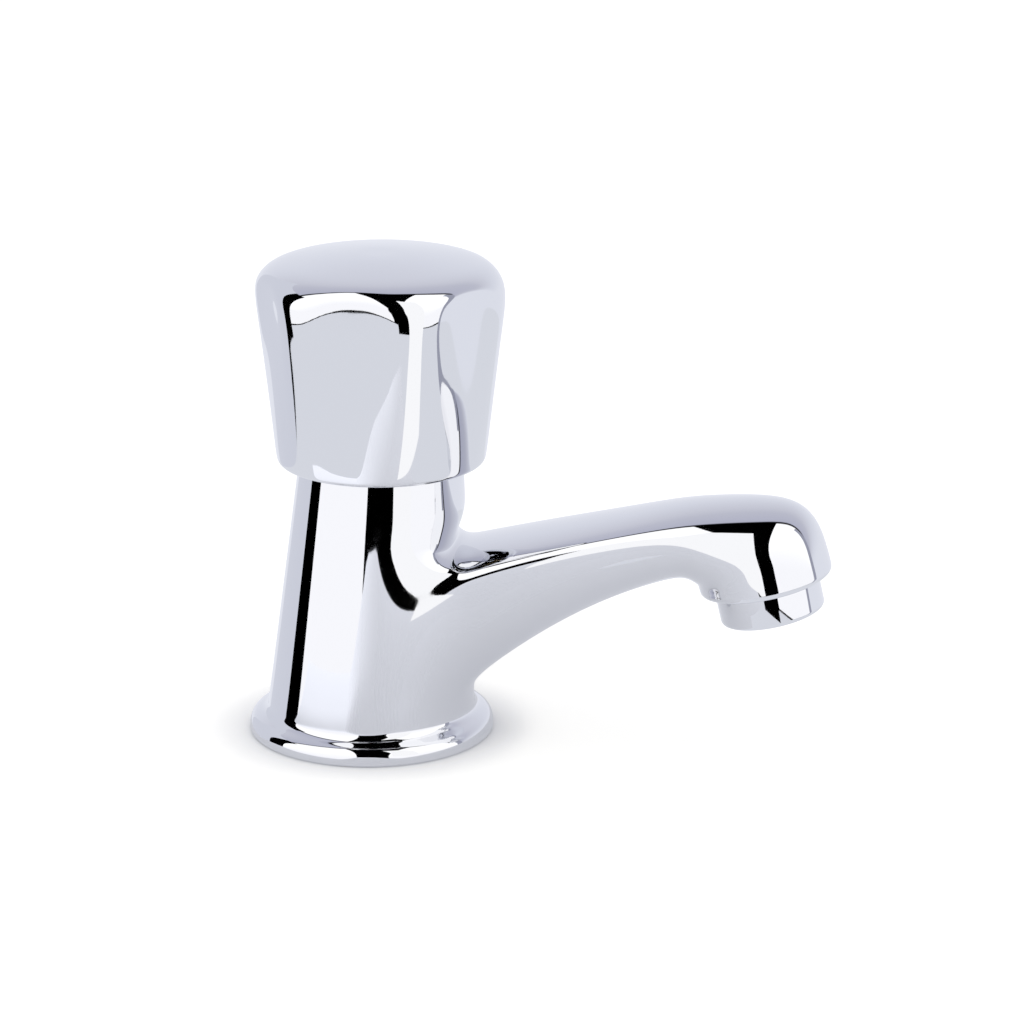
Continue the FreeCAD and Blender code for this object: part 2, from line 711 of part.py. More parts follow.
def backnut():
    body = flange_body("backnut")
    top = "-deck_thickness - nut_washer_thickness"
    hexagon(body, "nut_hexagon", "nut_flats", "nut_height - nut_collar_height", top + " - nut_height")
    revolve(body, "nut_collar", [
        ("0", top + " - nut_collar_height"),
        ("nut_collar_radius", top + " - nut_collar_height"),
        ("nut_collar_radius", top),
        ("0", top),
    ])
    groove(body, "nut_thread", [
        ("0", top + " - nut_height"),
        ("pipe_thread_radius + nut_clearance", top + " - nut_height"),
        ("pipe_thread_radius + nut_clearance", top),
        ("0", top),
    ])
    bevel_corners(body, "nut_corners", "nut_flats", top + " - nut_height", 1)
    return body


def bevel_corners(body, name, flats, face, side):
    """Turns the corners of a hexagon down to a cone, at its lower (1) or upper (-1) face."""
    groove(body, name, [
        ("(%s) / 2" % flats, face),
        (flats, face),
        (flats, "%s + %d * (%s) / 4" % (face, side, flats)),
    ])


# Headwork: bonnet, spindle with its rings and clip, and the carrier that lifts the tap washer

def bonnet_hex_floor():
    return "column_top + bonnet_seal_thickness"


def bonnet_hex_top():
    return bonnet_hex_floor() + " + bonnet_hex_height"


def bonnet_top():
    return bonnet_hex_top() + " + bonnet_neck_height"


def headwork_bonnet():
    body = valve_body("headwork_bonnet")
    hexagon(body, "bonnet_hexagon", "bonnet_flats", "bonnet_hex_height", bonnet_hex_floor())
    revolve(body, "bonnet_turning", [
        ("0", "bonnet_floor"),
        ("bonnet_skirt_radius", "bonnet_floor"),
        ("bonnet_skirt_radius", "bonnet_thread_start"),
        ("pipe_thread_radius - bonnet_bevel", "bonnet_thread_start"),
        ("pipe_thread_radius", "bonnet_thread_start + bonnet_bevel"),
        ("pipe_thread_radius", bonnet_hex_top()),
        ("bonnet_neck_radius", bonnet_hex_top()),
        ("bonnet_neck_radius", bonnet_top() + " - bonnet_bevel"),
        ("bonnet_neck_radius - bonnet_bevel", bonnet_top()),
        ("0", bonnet_top()),
    ])
    bevel_corners(body, "bonnet_corners", "bonnet_flats", bonnet_hex_top(), -1)
    hexagon(body, "stem_guide", "carrier_flats + 2 * guide_clearance", "collar_seat - bonnet_floor",
            "bonnet_floor", kind="SubtractivePrism")
    groove(body, "journal_bore", [
        ("0", "collar_seat"),
        ("journal_radius + journal_clearance", "collar_seat"),
        ("journal_radius + journal_clearance", bonnet_top()),
        ("0", bonnet_top()),
    ])
    return body


def headwork_seal():
    body = valve_body("headwork_seal")
    ring(body, "seal", "pipe_thread_radius + loose_clearance", "bonnet_seal_radius",
         "column_top", bonnet_hex_floor())
    return body


def clip_height():
    return bonnet_top() + " + thrust_washer_thickness + end_play"


def spline_floor():
    return clip_height() + " + clip_thickness + end_play + clip_land"


def spindle():
    body = valve_body("spindle")
    collar_top = "collar_seat - end_play"
    groove_floor = "journal_radius - ring_groove_depth"
    points = [
        ("0", "spindle_floor"),
        ("spindle_thread_radius - spindle_bevel", "spindle_floor"),
        ("spindle_thread_radius", "spindle_floor + spindle_bevel"),
        ("spindle_thread_radius", collar_top + " - spindle_collar_height"),
        ("spindle_collar_radius", collar_top + " - spindle_collar_height"),
        ("spindle_collar_radius", collar_top),
        ("journal_radius", collar_top),
    ]
    for height in ("ring_lower_height", "ring_upper_height"):
        low = height + " - ring_groove_width / 2"
        high = height + " + ring_groove_width / 2"
        points += [("journal_radius", low), (groove_floor, low)]
        points += [(groove_floor, high), ("journal_radius", high)]
    points += [
        ("journal_radius", clip_height() + " - end_play"),
        ("clip_groove_radius", clip_height() + " - end_play"),
        ("clip_groove_radius", clip_height() + " + clip_thickness + end_play"),
        ("journal_radius", clip_height() + " + clip_thickness + end_play"),
        ("journal_radius", spline_floor()),
        ("spline_radius", spline_floor()),
        ("spline_radius", spline_floor() + " + spline_length - spline_depth"),
        ("spline_radius - spline_depth", spline_floor() + " + spline_length"),
        ("0", spline_floor() + " + spline_length"),
    ]
    revolve(body, "spindle_turning", points)

    # one notch between two splines, repeated around the end
    notch = new_sketch(body, "notch_outline", "XY_Plane", z=spline_floor())
    draw_outline(notch, [
        ("spline_radius - spline_depth", "0"),
        ("spline_radius + spline_depth", "-2 * notch_half"),
        ("spline_radius + spline_depth", "2 * notch_half"),
    ])
    cut = pocket(body, "notch", notch, "spline_length", reverse=True)
    polar(body, "notches", cut, "spline_count")
    return body


def sealing_ring(label, height):
    torus = doc.addObject("Part::Torus", label)
    torus.Label = label
    tie(torus, "Radius1", "journal_radius - ring_groove_depth / 2")
    tie(torus, "Radius2", "ring_section")
    place(torus, x="valve_offset", z=height)
    return torus


def thrust_washer():
    body = valve_body("thrust_washer")
    ring(body, "washer", "journal_radius + loose_clearance", "thrust_washer_radius",
         bonnet_top(), bonnet_top() + " + thrust_washer_thickness")
    return body


def spindle_circlip():
    """An open ring with two eyes for the pliers."""
    body = valve_body("spindle_circlip")
    ring(body, "clip_ring", "clip_groove_radius + end_play", "clip_radius",
         clip_height(), clip_height() + " + clip_thickness")
    eye_x = "clip_radius"
    eye_y = "(clip_gap / 2 + clip_eye_radius)"
    for side in ("", "-"):
        name = "eye_left" if side else "eye_right"
        disc = new_sketch(body, name + "_outline", "XY_Plane", z=clip_height())
        draw_circle(disc, "clip_eye_radius", eye_x, side + eye_y)
        extrude(body, name, disc, "Pad", "clip_thickness")
    gap = new_sketch(body, "gap_outline", "XY_Plane", z=clip_height())
    draw_outline(gap, [
        ("0", "-clip_gap / 2"),
        ("2 * clip_radius", "-clip_gap / 2"),
        ("2 * clip_radius", "clip_gap / 2"),
        ("0", "clip_gap / 2"),
    ])
    pocket(body, "clip_opening", gap, "clip_thickness", reverse=True)
    for side in ("", "-"):
        name = "hole_left" if side else "hole_right"
        hole = new_sketch(body, name + "_outline", "XY_Plane", z=clip_height())
        draw_circle(hole, "clip_eye_hole", eye_x, side + eye_y)
        pocket(body, name, hole, "clip_thickness", reverse=True)
    return body


def valve_carrier():
    body = valve_body("valve_carrier")
    plate_floor = "seat_height + tap_washer_thickness"
    plate_top = plate_floor + " + carrier_plate_thickness"
    hexagon(body, "stem", "carrier_flats", "carrier_top - (%s)" % plate_top, plate_top)
    revolve(body, "plate_and_stud", [
        ("0", "seat_height - stud_length"),
        ("stud_radius", "seat_height - stud_length"),
        ("stud_radius", plate_floor),
        ("carrier_plate_radius", plate_floor),
        ("carrier_plate_radius", plate_top),
        ("0", plate_top),
    ])
    groove(body, "lifting_thread", [
        ("0", plate_top + " + carrier_web"),
        ("spindle_thread_radius + spindle_thread_clearance", plate_top + " + carrier_web"),
        ("spindle_thread_radius + spindle_thread_clearance", "carrier_top"),
        ("0", "carrier_top"),
    ])
    return body


def tap_washer():
    body = valve_body("tap_washer")
    ring(body, "washer", "stud_radius + stud_clearance", "tap_washer_radius",
         "seat_height", "seat_height + tap_washer_thickness")
    return body


def washer_nut():
    body = valve_body("washer_nut")
    hexagon(body, "nut_hexagon", "washer_nut_flats", "washer_nut_height", "seat_height - washer_nut_height")
    groove(body, "nut_thread", [
        ("0", "seat_height - washer_nut_height"),
        ("stud_radius + thread_clearance", "seat_height - washer_nut_height"),
        ("stud_radius + thread_clearance", "seat_height"),
        ("0", "seat_height"),
    ])
    return body


# Knob: a crowned hollow shell with flutes, a splined bush and the grub screw at its back

def knob_shell():
    body = knob_body("knob_shell")
    crown_rise = "(knob_top - knob_edge_height)"
    crown = "(knob_edge_radius * knob_edge_radius + %s * %s) / 2 / %s" % (crown_rise, crown_rise, crown_rise)
    turned = revolve(body, "knob_turning", [
        ("0", "knob_floor"),
        ("knob_skirt_radius", "knob_floor"),
        ("knob_edge_radius", "knob_edge_height"),
        ("0", "knob_top", crown),
    ])
    soften(body, "shoulder", level_edges(turned, "knob_edge_radius", "knob_edge_height"), "knob_shoulder")
    soften(body, "rim", level_edges(body.Tip, "knob_skirt_radius", "knob_floor"), "knob_rim_round")

    # a cutter that follows the rim below and is hollow above, repeated around the knob
    top_radius = "(knob_skirt_radius + (knob_edge_radius - knob_skirt_radius)"
    top_radius += " * (knob_top - knob_floor) / (knob_edge_height - knob_floor))"
    rim_bow = "-(knob_skirt_radius + flute_runout)"
    low = flute_section(body, "flute_low", "knob_floor", "knob_skirt_radius", rim_bow)
    high = flute_section(body, "flute_high", "knob_top", top_radius, "flute_hollow")
    flute = loft(body, "flute", low, [high], "SubtractiveLoft")
    polar(body, "flutes", flute, "flute_count")

    groove(body, "knob_hollow", [
        ("0", "knob_floor"),
        ("knob_inner_low", "knob_floor"),
        ("knob_inner_high", "knob_inner_height"),
        ("knob_ceiling_radius", "knob_ceiling"),
        ("hub_radius", "knob_ceiling"),
        ("hub_radius", "hub_floor"),
        ("0", "hub_floor"),
    ])
    groove(body, "hub_bore", [
        ("0", "hub_floor"),
        ("insert_radius + insert_clearance", "hub_floor"),
        ("insert_radius + insert_clearance", "insert_top"),
        ("0", "insert_top"),
    ])
    between = "(hub_radius + knob_inner_low) / 2"
    screw_hole(body, "hub_thread", "screw_radius + screw_clearance", "0", between)
    screw_hole(body, "key_hole", "screw_access", between, "knob_edge_radius")
    return body


def flute_section(body, name, height, skirt, bow):
    """What the cutter takes at one height: from the flute's skin, bowed by a radius, to beyond the skirt."""
    section = new_sketch(body, name, "XY_Plane", z=height)
    corner_x = "(%s + flute_runout) * sin(flute_half_angle)" % skirt
    corner_y = "-(%s + flute_runout) * cos(flute_half_angle)" % skirt
    beyond = "-(%s + flute_reach)" % skirt
    draw_outline(section, [
        ("-" + corner_x, beyond),
        (corner_x, beyond),
        (corner_x, corner_y),
        ("-" + corner_x, corner_y, bow),
    ])
    return section


def screw_hole(body, name, radius, start, length):
    """A round hole at the screw's height, towards the side away from the flute in front."""
    outline = new_sketch(body, name + "_outline", z="-(%s)" % start)
    draw_circle(outline, radius, "0", "screw_height")
    return pocket(body, name, outline, length)


def knob_insert():
    body = knob_body("knob_insert")
    spline_bore = "spline_radius + insert_clearance"
    revolve(body, "bush", [
        (spline_bore, spline_floor()),
        ("insert_collar_radius", spline_floor()),
        ("insert_collar_radius", "hub_floor"),
        ("insert_radius", "hub_floor"),
        ("insert_radius", "insert_top"),
        ("0", "insert_top"),
        ("0", spline_floor() + " + spline_length + insert_end_gap"),
        (spline_bore, spline_floor() + " + spline_length + insert_end_gap"),
    ])
    screw_hole(body, "screw_thread", "screw_radius + screw_clearance", "0", "insert_collar_radius")
    return body


def knob_grub_screw():
    body = knob_body("knob_grub_screw")
    point = "(spline_radius + insert_clearance)"
    end = "(spline_radius + insert_clearance + screw_length)"
    revolve(body, "screw", [
        ("0", point),
        ("screw_radius - screw_point_bevel", point),
        ("screw_radius", point + " + screw_point_bevel"),
        ("screw_radius", end),
        ("0", end),
    ], role="XY_Plane", z="screw_height")
    socket = body.newObject("PartDesign::SubtractivePrism", "socket")
    socket.AttachmentSupport = [(origin_part(body, "XZ_Plane"), "")]
    socket.MapMode = "FlatFace"
    tie(socket, "AttachmentOffset.Base.y", "screw_height")
    tie(socket, "AttachmentOffset.Base.z", "-" + end)
    socket.Polygon = 6
    tie(socket, "Circumradius", "screw_socket_flats / 2 / cos(30)")
    tie(socket, "Height", "screw_socket_depth")
    doc.recompute()
    return body


# Outlet collar, seal and aerator

def nozzle_collar():
    body = outlet_body("nozzle_collar")
    shoulder = "head_floor + nozzle_sink"
    turned = revolve(body, "collar", [
        ("nozzle_lip_radius", "0"),
        ("nozzle_radius", "0"),
        ("nozzle_radius", shoulder),
        ("nozzle_neck_radius", shoulder),
        ("nozzle_neck_radius", "nozzle_neck_top"),
        ("nozzle_bore", "nozzle_neck_top"),
        ("nozzle_bore", "nozzle_lip_height"),
        ("nozzle_lip_radius", "nozzle_lip_height"),
    ])
    soften(body, "outlet_edge", level_edges(turned, "nozzle_radius", "0"), "nozzle_edge")
    return body


def nozzle_seal():
    body = outlet_body("nozzle_seal")
    ring(body, "seal", "nozzle_seal_inner", "nozzle_neck_radius",
         "nozzle_neck_top", "nozzle_neck_top + nozzle_seal_thickness")
    return body


def screen(label, floor):
    body = outlet_body(label)
    ring(body, "disc", "0", "nozzle_bore - aerator_clearance", floor, floor + " + screen_thickness")
    return body


def aerator_insert():
    """A plug with circles of straight holes."""
    body = outlet_body("aerator_insert")
    floor = "nozzle_lip_height + screen_thickness"
    ring(body, "plug", "0", "nozzle_bore - aerator_clearance", floor, floor + " + aerator_height")
    for name, radius, count in (
        ("middle_hole", "0", "1"),
        ("inner_hole", "aerator_inner_ring", "6"),
        ("outer_hole", "aerator_outer_ring", "12"),
    ):
        outline = new_sketch(body, name + "_outline", "XY_Plane", z=floor)
        draw_circle(outline, "aerator_hole", radius, "0")
        hole = pocket(body, name, outline, "aerator_height", reverse=True)
        if count != "1":
            polar(body, name + "s", hole, count)
    return body


pieces = [
    tap_body(),
    inlet_tail(),
    tail_seal(),
    deck_gasket(),
    tail_washer(),
    backnut(),
    headwork_bonnet(),
    headwork_seal(),
    spindle(),
    sealing_ring("spindle_ring_lower", "ring_lower_height"),
    sealing_ring("spindle_ring_upper", "ring_upper_height"),
    thrust_washer(),
    spindle_circlip(),
    valve_carrier(),
    tap_washer(),
    washer_nut(),
    knob_shell(),
    knob_insert(),
    knob_grub_screw(),
    nozzle_collar(),
    nozzle_seal(),
    aerator_insert(),
    screen("aerator_screen_lower", "nozzle_lip_height"),
    screen("aerator_screen_upper", "nozzle_lip_height + screen_thickness + aerator_height"),
]
doc.recompute()

for thing in doc.Objects:
    if "Invalid" in thing.State or "Error" in thing.State:
        raise RuntimeError(thing.Name + " failed: " + ", ".join(thing.State))
for piece in pieces:
    if piece.Shape.isNull() or not piece.Shape.isValid() or not piece.Shape.Solids:
        raise RuntimeError(piece.Label + " has no valid solid")

os.makedirs("parts", exist_ok=True)
for piece in pieces:
    piece.Shape.exportStep("parts/%s.step" % piece.Label)
    box = piece.Shape.BoundBox
    print("%-22s %d solid, %10.1f mm3, z %6.2f to %6.2f" % (
        piece.Label, len(piece.Shape.Solids), piece.Shape.Volume, box.ZMin, box.ZMax))
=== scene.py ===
import bpy
import bmesh
from math import atan2, cos, degrees, pi, radians, sin, sqrt
from mathutils import Matrix, Vector


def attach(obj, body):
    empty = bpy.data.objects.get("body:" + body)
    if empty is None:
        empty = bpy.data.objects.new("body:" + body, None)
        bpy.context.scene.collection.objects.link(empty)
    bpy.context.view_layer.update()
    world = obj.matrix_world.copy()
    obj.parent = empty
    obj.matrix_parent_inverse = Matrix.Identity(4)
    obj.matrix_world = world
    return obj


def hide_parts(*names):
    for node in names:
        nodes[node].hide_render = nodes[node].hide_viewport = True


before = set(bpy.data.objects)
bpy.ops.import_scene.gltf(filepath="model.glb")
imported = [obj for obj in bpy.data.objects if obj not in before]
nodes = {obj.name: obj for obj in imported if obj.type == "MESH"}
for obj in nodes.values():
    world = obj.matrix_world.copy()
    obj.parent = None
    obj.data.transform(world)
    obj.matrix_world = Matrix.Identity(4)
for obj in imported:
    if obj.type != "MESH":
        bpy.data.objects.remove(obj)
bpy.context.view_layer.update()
mm = 0.001
hair = 0.02 * mm        # nearer than this is the same place

# The scene is in metres and the dictionaries of the pieces are in mm. +X runs out along the spout,
# -Y faces the camera and +Z is up from the deck

camera = {
    "focal": 3800,              # in pixels of a 1024 wide frame
    "frame": 1024,
    "sensor": 36,               # mm
    "tilt": 17.2,               # degrees down
    "yaw": 8.0,                 # the spout points this much towards the camera
    "scale": 4.6635,            # pixels per mm at the flange
    "originAt": (372, 724.4),   # pixel of the flange's centre on the deck
    "farthest": 100,            # metres
}


def addCamera():
    tilt, yaw = radians(camera["tilt"]), radians(camera["yaw"])
    forward = Vector((-sin(yaw) * cos(tilt), cos(yaw) * cos(tilt), -sin(tilt)))
    right = forward.cross(Vector((0, 0, 1))).normalized()
    up = right.cross(forward)
    distance = camera["focal"] / camera["scale"] * mm
    half = camera["frame"] / 2
    side = (camera["originAt"][0] - half) / camera["focal"]
    drop = (camera["originAt"][1] - half) / camera["focal"]
    place = -distance * (forward + right * side - up * drop)
    bpy.ops.object.camera_add(location=place)
    eye = bpy.context.object
    eye.name = "camera"
    eye.rotation_euler = Matrix((right, up, -forward)).transposed().to_euler()
    eye.data.sensor_width = camera["sensor"]
    eye.data.lens = camera["focal"] / camera["frame"] * camera["sensor"]
    eye.data.clip_end = camera["farthest"]
    bpy.context.scene.camera = eye
    return forward, right


viewForward, viewRight = addCamera()
print("camera placed")


# Editing by hand: a few strokes that every piece uses

def deselectAll():
    for thing in bpy.context.selected_objects:
        thing.select_set(False)


def openPiece(name):
    # names the primitive that was just added and goes into edit mode
    piece = bpy.context.object
    piece.name = name
    piece.data.name = name
    bpy.ops.object.mode_set(mode="EDIT")
    return piece


def shapeOf(piece):
    return bmesh.from_edit_mesh(piece.data)


def pick(piece, test, level="VERT"):
    # selects the vertices, edges or faces for which the test holds, and nothing else
    bpy.ops.mesh.select_mode(type=level)
    bpy.ops.mesh.select_all(action="DESELECT")
    shape = shapeOf(piece)
    rows = {"VERT": shape.verts, "EDGE": shape.edges, "FACE": shape.faces}[level]
    for part in rows:
        part.select_set(test(part))
    bmesh.update_edit_mesh(piece.data)


def closePiece(piece, smoothAngle):
    # leaves edit mode with the faces pointing outwards
    bpy.ops.mesh.select_mode(type="VERT")
    bpy.ops.mesh.select_all(action="SELECT")
    bpy.ops.mesh.normals_make_consistent(inside=False)
    bpy.ops.object.mode_set(mode="OBJECT")
    bpy.ops.object.shade_smooth_by_angle(angle=radians(smoothAngle))


def subdivide(piece, levels):
    bpy.ops.mesh.select_all(action="SELECT")
    bpy.ops.mesh.normals_make_consistent(inside=False)
    bpy.ops.object.mode_set(mode="OBJECT")
    smooth = piece.modifiers.new("smooth", "SUBSURF")
    smooth.levels = smooth.render_levels = levels
    bpy.ops.object.modifier_apply(modifier="smooth")
    bpy.ops.object.mode_set(mode="EDIT")


def stepOn(rings, radius, centre):
    # extrudes the selected ring through radii and centres, in mm, one after another
    centre = Vector(centre)
    for nextRadius, nextCentre in rings:
        nextCentre = Vector(nextCentre)
        grow = nextRadius / radius
        bpy.ops.mesh.extrude_region_move()
        bpy.ops.transform.translate(value=(nextCentre - centre) * mm)
        bpy.ops.transform.resize(value=(grow, grow, grow), center_override=nextCentre * mm)
        radius, centre = nextRadius, nextCentre


def keepLoop(piece):
    # remembers the selected open edge, in a mark that joinLoops reads
    shape = shapeOf(piece)
    marks = shape.verts.layers.int.get("openEdge") or shape.verts.layers.int.new("openEdge")
    for vert in shape.verts:
        vert[marks] = 1 if vert.select else 0
    bmesh.update_edit_mesh(piece.data)


def joinLoops(piece):
    # bridges the remembered edge and the ring just drawn, and leaves that ring selected
    shape = shapeOf(piece)
    marks = shape.verts.layers.int["openEdge"]
    fresh = {vert.index for vert in shape.verts if vert.select}
    for edge in shape.edges:
        old = edge.is_boundary and all(vert[marks] for vert in edge.verts)
        new = all(vert.index in fresh for vert in edge.verts)
        edge.select_set(old or new)
    bmesh.update_edit_mesh(piece.data)
    bpy.ops.mesh.select_mode(type="EDGE")
    bpy.ops.mesh.bridge_edge_loops()
    pick(piece, lambda edge: edge.is_boundary and all(vert.index in fresh for vert in edge.verts), "EDGE")
    bpy.ops.mesh.select_mode(type="VERT")


def swell(sides):
    # a subdivided ring draws in a little, and this keeps its size
    return 6 / (4 + 2 * cos(2 * pi / sides))


# Body: flange, leaning column, spout and head as one smooth casting, then its machined bores

casting = {
    "sides": 24,
    # radius and height of each ring of the flange, from the floor up
    "flange": [
        (26.0, 0.4), (26.0, 1.0), (26.0, 1.6), (25.68, 2.8), (25.14, 3.44), (24.58, 3.79), (23.8, 4.14),
        (23.05, 4.47), (22.3, 5.07), (22.02, 5.9), (21.93, 6.8),
    ],
    "foot": (22.1, 4.9), "top": (17.1, 61.0), "lean": 2.7,
    "rows": [10.5, 18.5, 28.0, 38.0, 48.0],     # heights of the rows that the spout leaves from
    "above": [53.0, 57.5, 60.2],                # rows over the spout
    "topEdge": [(0.05, 0.15), (0.5, 0.0)],      # how far in from its top radius and down, for two rings
    "spread": 75,                               # degrees of the column each side that the spout takes
    "reach": 85.5, "outlet": 29.2, "rise": 12.7,  # the outlet's middle, and the spout's slope in degrees
    "lip": 14.0,
    # how far back from the outlet, top, widest line, underside and half width of each oval
    "ovals": [
        (64.0, 27.0, 21.3, -2.2, 15.0), (58.0, 27.0, 22.5, 0.9, 14.1), (49.0, 27.0, 23.5, 4.8, 13.1),
        (39.5, 27.05, 23.9, 8.1, 12.2), (30.0, 27.1, 23.8, 10.4, 11.65), (22.5, 27.2, 23.4, 11.5, 11.5),
    ],
    # ovals that turn down into the head: low end, high end, share of the widest line, half width
    "turns": [
        ((-17.6, 11.9), (-14.0, 27.3), 0.68, 11.9), ((-15.6, 11.3), (-6.5, 26.6), 0.60, 12.7),
        ((-14.55, 10.3), (3.0, 25.1), 0.53, 13.4), ((-14.2, 9.9), (10.3, 22.6), 0.5, 13.75),
        ((-14.1, 9.5), (13.3, 17.5), 0.5, 13.9), ((-14.05, 9.1), (13.85, 12.0), 0.5, 14.0),
        ((-14.0, 8.6), (14.0, 9.0), 0.5, 14.0), ((-14.0, 8.2), (14.0, 8.2), 0.5, 14.0),
    ],
    # radius and height above the outlet: lip, socket for the collar and the well over it
    "outletBore": [
        (13.91, 7.74), (13.65, 7.35), (13.26, 7.09), (12.8, 7.0), (11.1, 7.0), (11.1, 8.5), (10.0, 8.5),
        (10.0, 14.6), (7.5, 14.6), (7.5, 22.0), (1.0, 22.0),
    ],
    # radius and height under the flange: gasket groove, hollow and socket of the tail
    "under": [
        (25.6, 0.0), (23.7, 0.0), (23.7, 2.0), (18.5, 2.0), (18.5, 0.0), (16.8, 0.0), (16.8, 20.0),
        (13.2, 20.0), (13.2, 0.0), (10.5, 0.0), (10.5, 10.0),
    ],
    # radius and height about the valve axis: seat, chamber and the thread of the headwork
    "valve": [
        (5.5, 10.0), (5.5, 26.0), (7.2, 26.0), (7.2, 24.5), (9.6, 24.5), (9.6, 44.5), (10.5, 44.5),
        (10.5, 60.4), (11.1, 61.0),
    ],
    "smooth": 3, "sharp": 32,                   # subdivision, and the angle from which an edge is sharp
}


def columnAt(z):
    # radius and middle of the leaning column at this height
    footRadius, footZ = casting["foot"]
    topRadius, topZ = casting["top"]
    share = (z - footZ) / (topZ - footZ)
    return footRadius + (topRadius - footRadius) * share, casting["lean"] * share


def atSpout(along, above):
    # a point of the mirror plane, measured along and square to the spout's rise from the outlet
    rise = radians(casting["rise"])
    return Vector((casting["reach"] + along * cos(rise) - above * sin(rise), 0,
                   casting["outlet"] + along * sin(rise) + above * cos(rise)))


def drawOval(piece, low, high, share, half, sides):
    # two half ellipses between a low and a high point, which meet at the widest line
    low, high = atSpout(*low), atSpout(*high)
    middle = low.lerp(high, share)
    bpy.ops.mesh.select_all(action="DESELECT")
    bpy.ops.mesh.primitive_circle_add(vertices=sides, radius=mm * swell(sides), location=(0, 0, 0))
    ring = [vert.index for vert in shapeOf(piece).verts if vert.select]
    for side, reach in ((1, (high - middle).length), (-1, (middle - low).length)):
        pick(piece, lambda vert: vert.index in ring and vert.co.x * side > hair)
        bpy.ops.transform.resize(value=(reach, 1, 1), center_override=(0, 0, 0))
    pick(piece, lambda vert: vert.index in ring)
    bpy.ops.transform.resize(value=(1, half, 1), center_override=(0, 0, 0))
    turn = atan2(high.z - low.z, high.x - low.x)
    bpy.ops.transform.rotate(value=turn, orient_axis="Y", center_override=(0, 0, 0))
    bpy.ops.transform.translate(value=middle * mm)


def makeCasting():
    sides = casting["sides"]
    grow = swell(sides)
    deselectAll()
    radius, z = casting["flange"][0]
    bpy.ops.mesh.primitive_circle_add(vertices=sides, radius=radius * grow * mm, location=(0, 0, 0))
    piece = openPiece("tapCasting")
    bpy.ops.transform.translate(value=(0, 0, z * mm))
    rings = [(ring[0] * grow, (0, 0, ring[1])) for ring in casting["flange"][1:]]
    for height in casting["rows"] + casting["above"]:
        wide, middle = columnAt(height)
        rings.append((wide * grow, (middle, 0, height)))
    topRadius, topZ = casting["top"]
    for inward, down in casting["topEdge"]:
        rings.append(((topRadius - inward) * grow, (casting["lean"], 0, topZ - down)))
    stepOn(rings, radius * grow, (0, 0, z))

    # open the column where the spout leaves it
    low, high = casting["rows"][0] * mm, casting["rows"][-1] * mm
    aside = radians(casting["spread"])

    def inPatch(face):
        spot = face.calc_center_median()
        middle = columnAt(spot.z / mm)[1] * mm
        return low < spot.z < high and abs(atan2(spot.y, spot.x - middle)) < aside
    pick(piece, inPatch, "FACE")
    bpy.ops.mesh.delete(type="FACE")
    around = 2 * (2 * casting["spread"] * sides // 360 + len(casting["rows"]) - 1)

    # ovals of the spout, each bridged to the one before
    ovals = [((-back, under), (-back, top), (widest - under) / (top - under), half)
             for back, top, widest, under, half in casting["ovals"]]
    pick(piece, lambda edge: edge.is_boundary and low - mm < edge.verts[0].co.z < high + mm, "EDGE")
    for lowEnd, highEnd, share, half in ovals + casting["turns"]:
        keepLoop(piece)
        drawOval(piece, lowEnd, highEnd, share, half, around)
        joinLoops(piece)
    subdivide(piece, casting["smooth"])

    # machined bores, turned on from the open edges of lip, flange and column
    lip = atSpout(0, casting["turns"][-1][0][1])
    reach = 1.05 * casting["lip"] * mm          # just past the lip
    pick(piece, lambda edge: edge.is_boundary and (edge.verts[0].co - lip * mm).length < reach, "EDGE")
    stepOn([(ring[0], atSpout(0, ring[1])) for ring in casting["outletBore"]], casting["lip"], lip)
    bpy.ops.mesh.edge_face_add()
    pick(piece, lambda edge: edge.is_boundary and edge.verts[0].co.z < mm, "EDGE")
    bores = [(ring[0], (0, 0, ring[1])) for ring in casting["under"]]
    bores += [(ring[0], (casting["lean"], 0, ring[1])) for ring in casting["valve"]]
    stepOn(bores, radius, (0, 0, z))
    pick(piece, lambda edge: edge.is_boundary, "EDGE")
    bpy.ops.mesh.bridge_edge_loops()
    closePiece(piece, casting["sharp"])
    return piece


tapCasting = makeCasting()
print("casting")


# Knob: a crowned shell with six flutes that fade towards the rim

knob = {
    "sides": 72, "flutes": 6, "axis": 2.7, "turn": -2.5,    # where the axis is, and how far it is turned
    # radius and height of each ring of the outside, before the flutes are pressed in
    "rings": [
        (21.3, 59.6), (21.75, 59.95), (22.0, 60.6), (22.3, 62.6), (22.8, 66.5), (23.5, 72.0), (24.5, 80.0),
        (25.4, 87.0), (26.1, 92.0), (26.32, 95.5), (25.9, 97.7), (24.9, 99.5), (23.2, 101.0), (20.6, 101.95),
        (16.0, 102.75), (10.5, 103.5), (5.0, 103.97),
    ],
    # a flute: the heights between which it deepens, the radius where it runs out, the radii of its middle
    # and of its hollow at the top, its widest angle each side, and how softly its edges blend low and high
    "floor": 59.6, "top": 104.1, "runout": 22.05, "deepest": 24.48, "hollow": 56.0, "widest": 33,
    "edge": 0.15, "blend": 0.35,
    # radius and height of the rings of the inside
    "inside": [
        (20.3, 59.6), (19.45, 60.3), (21.2, 93.5), (16.5, 99.4), (9.8, 99.4), (9.8, 80.0), (7.05, 80.0),
        (7.05, 93.0), (0.5, 93.0),
    ],
    "smooth": 2, "sharp": 35,
    # radius, start and end of the key's hole and of the screw's, and their height
    "holes": [(3.0, 14.6, 30.0), (2.55, 5.0, 14.0)], "holeHeight": 86.0, "holeSides": 64,
}


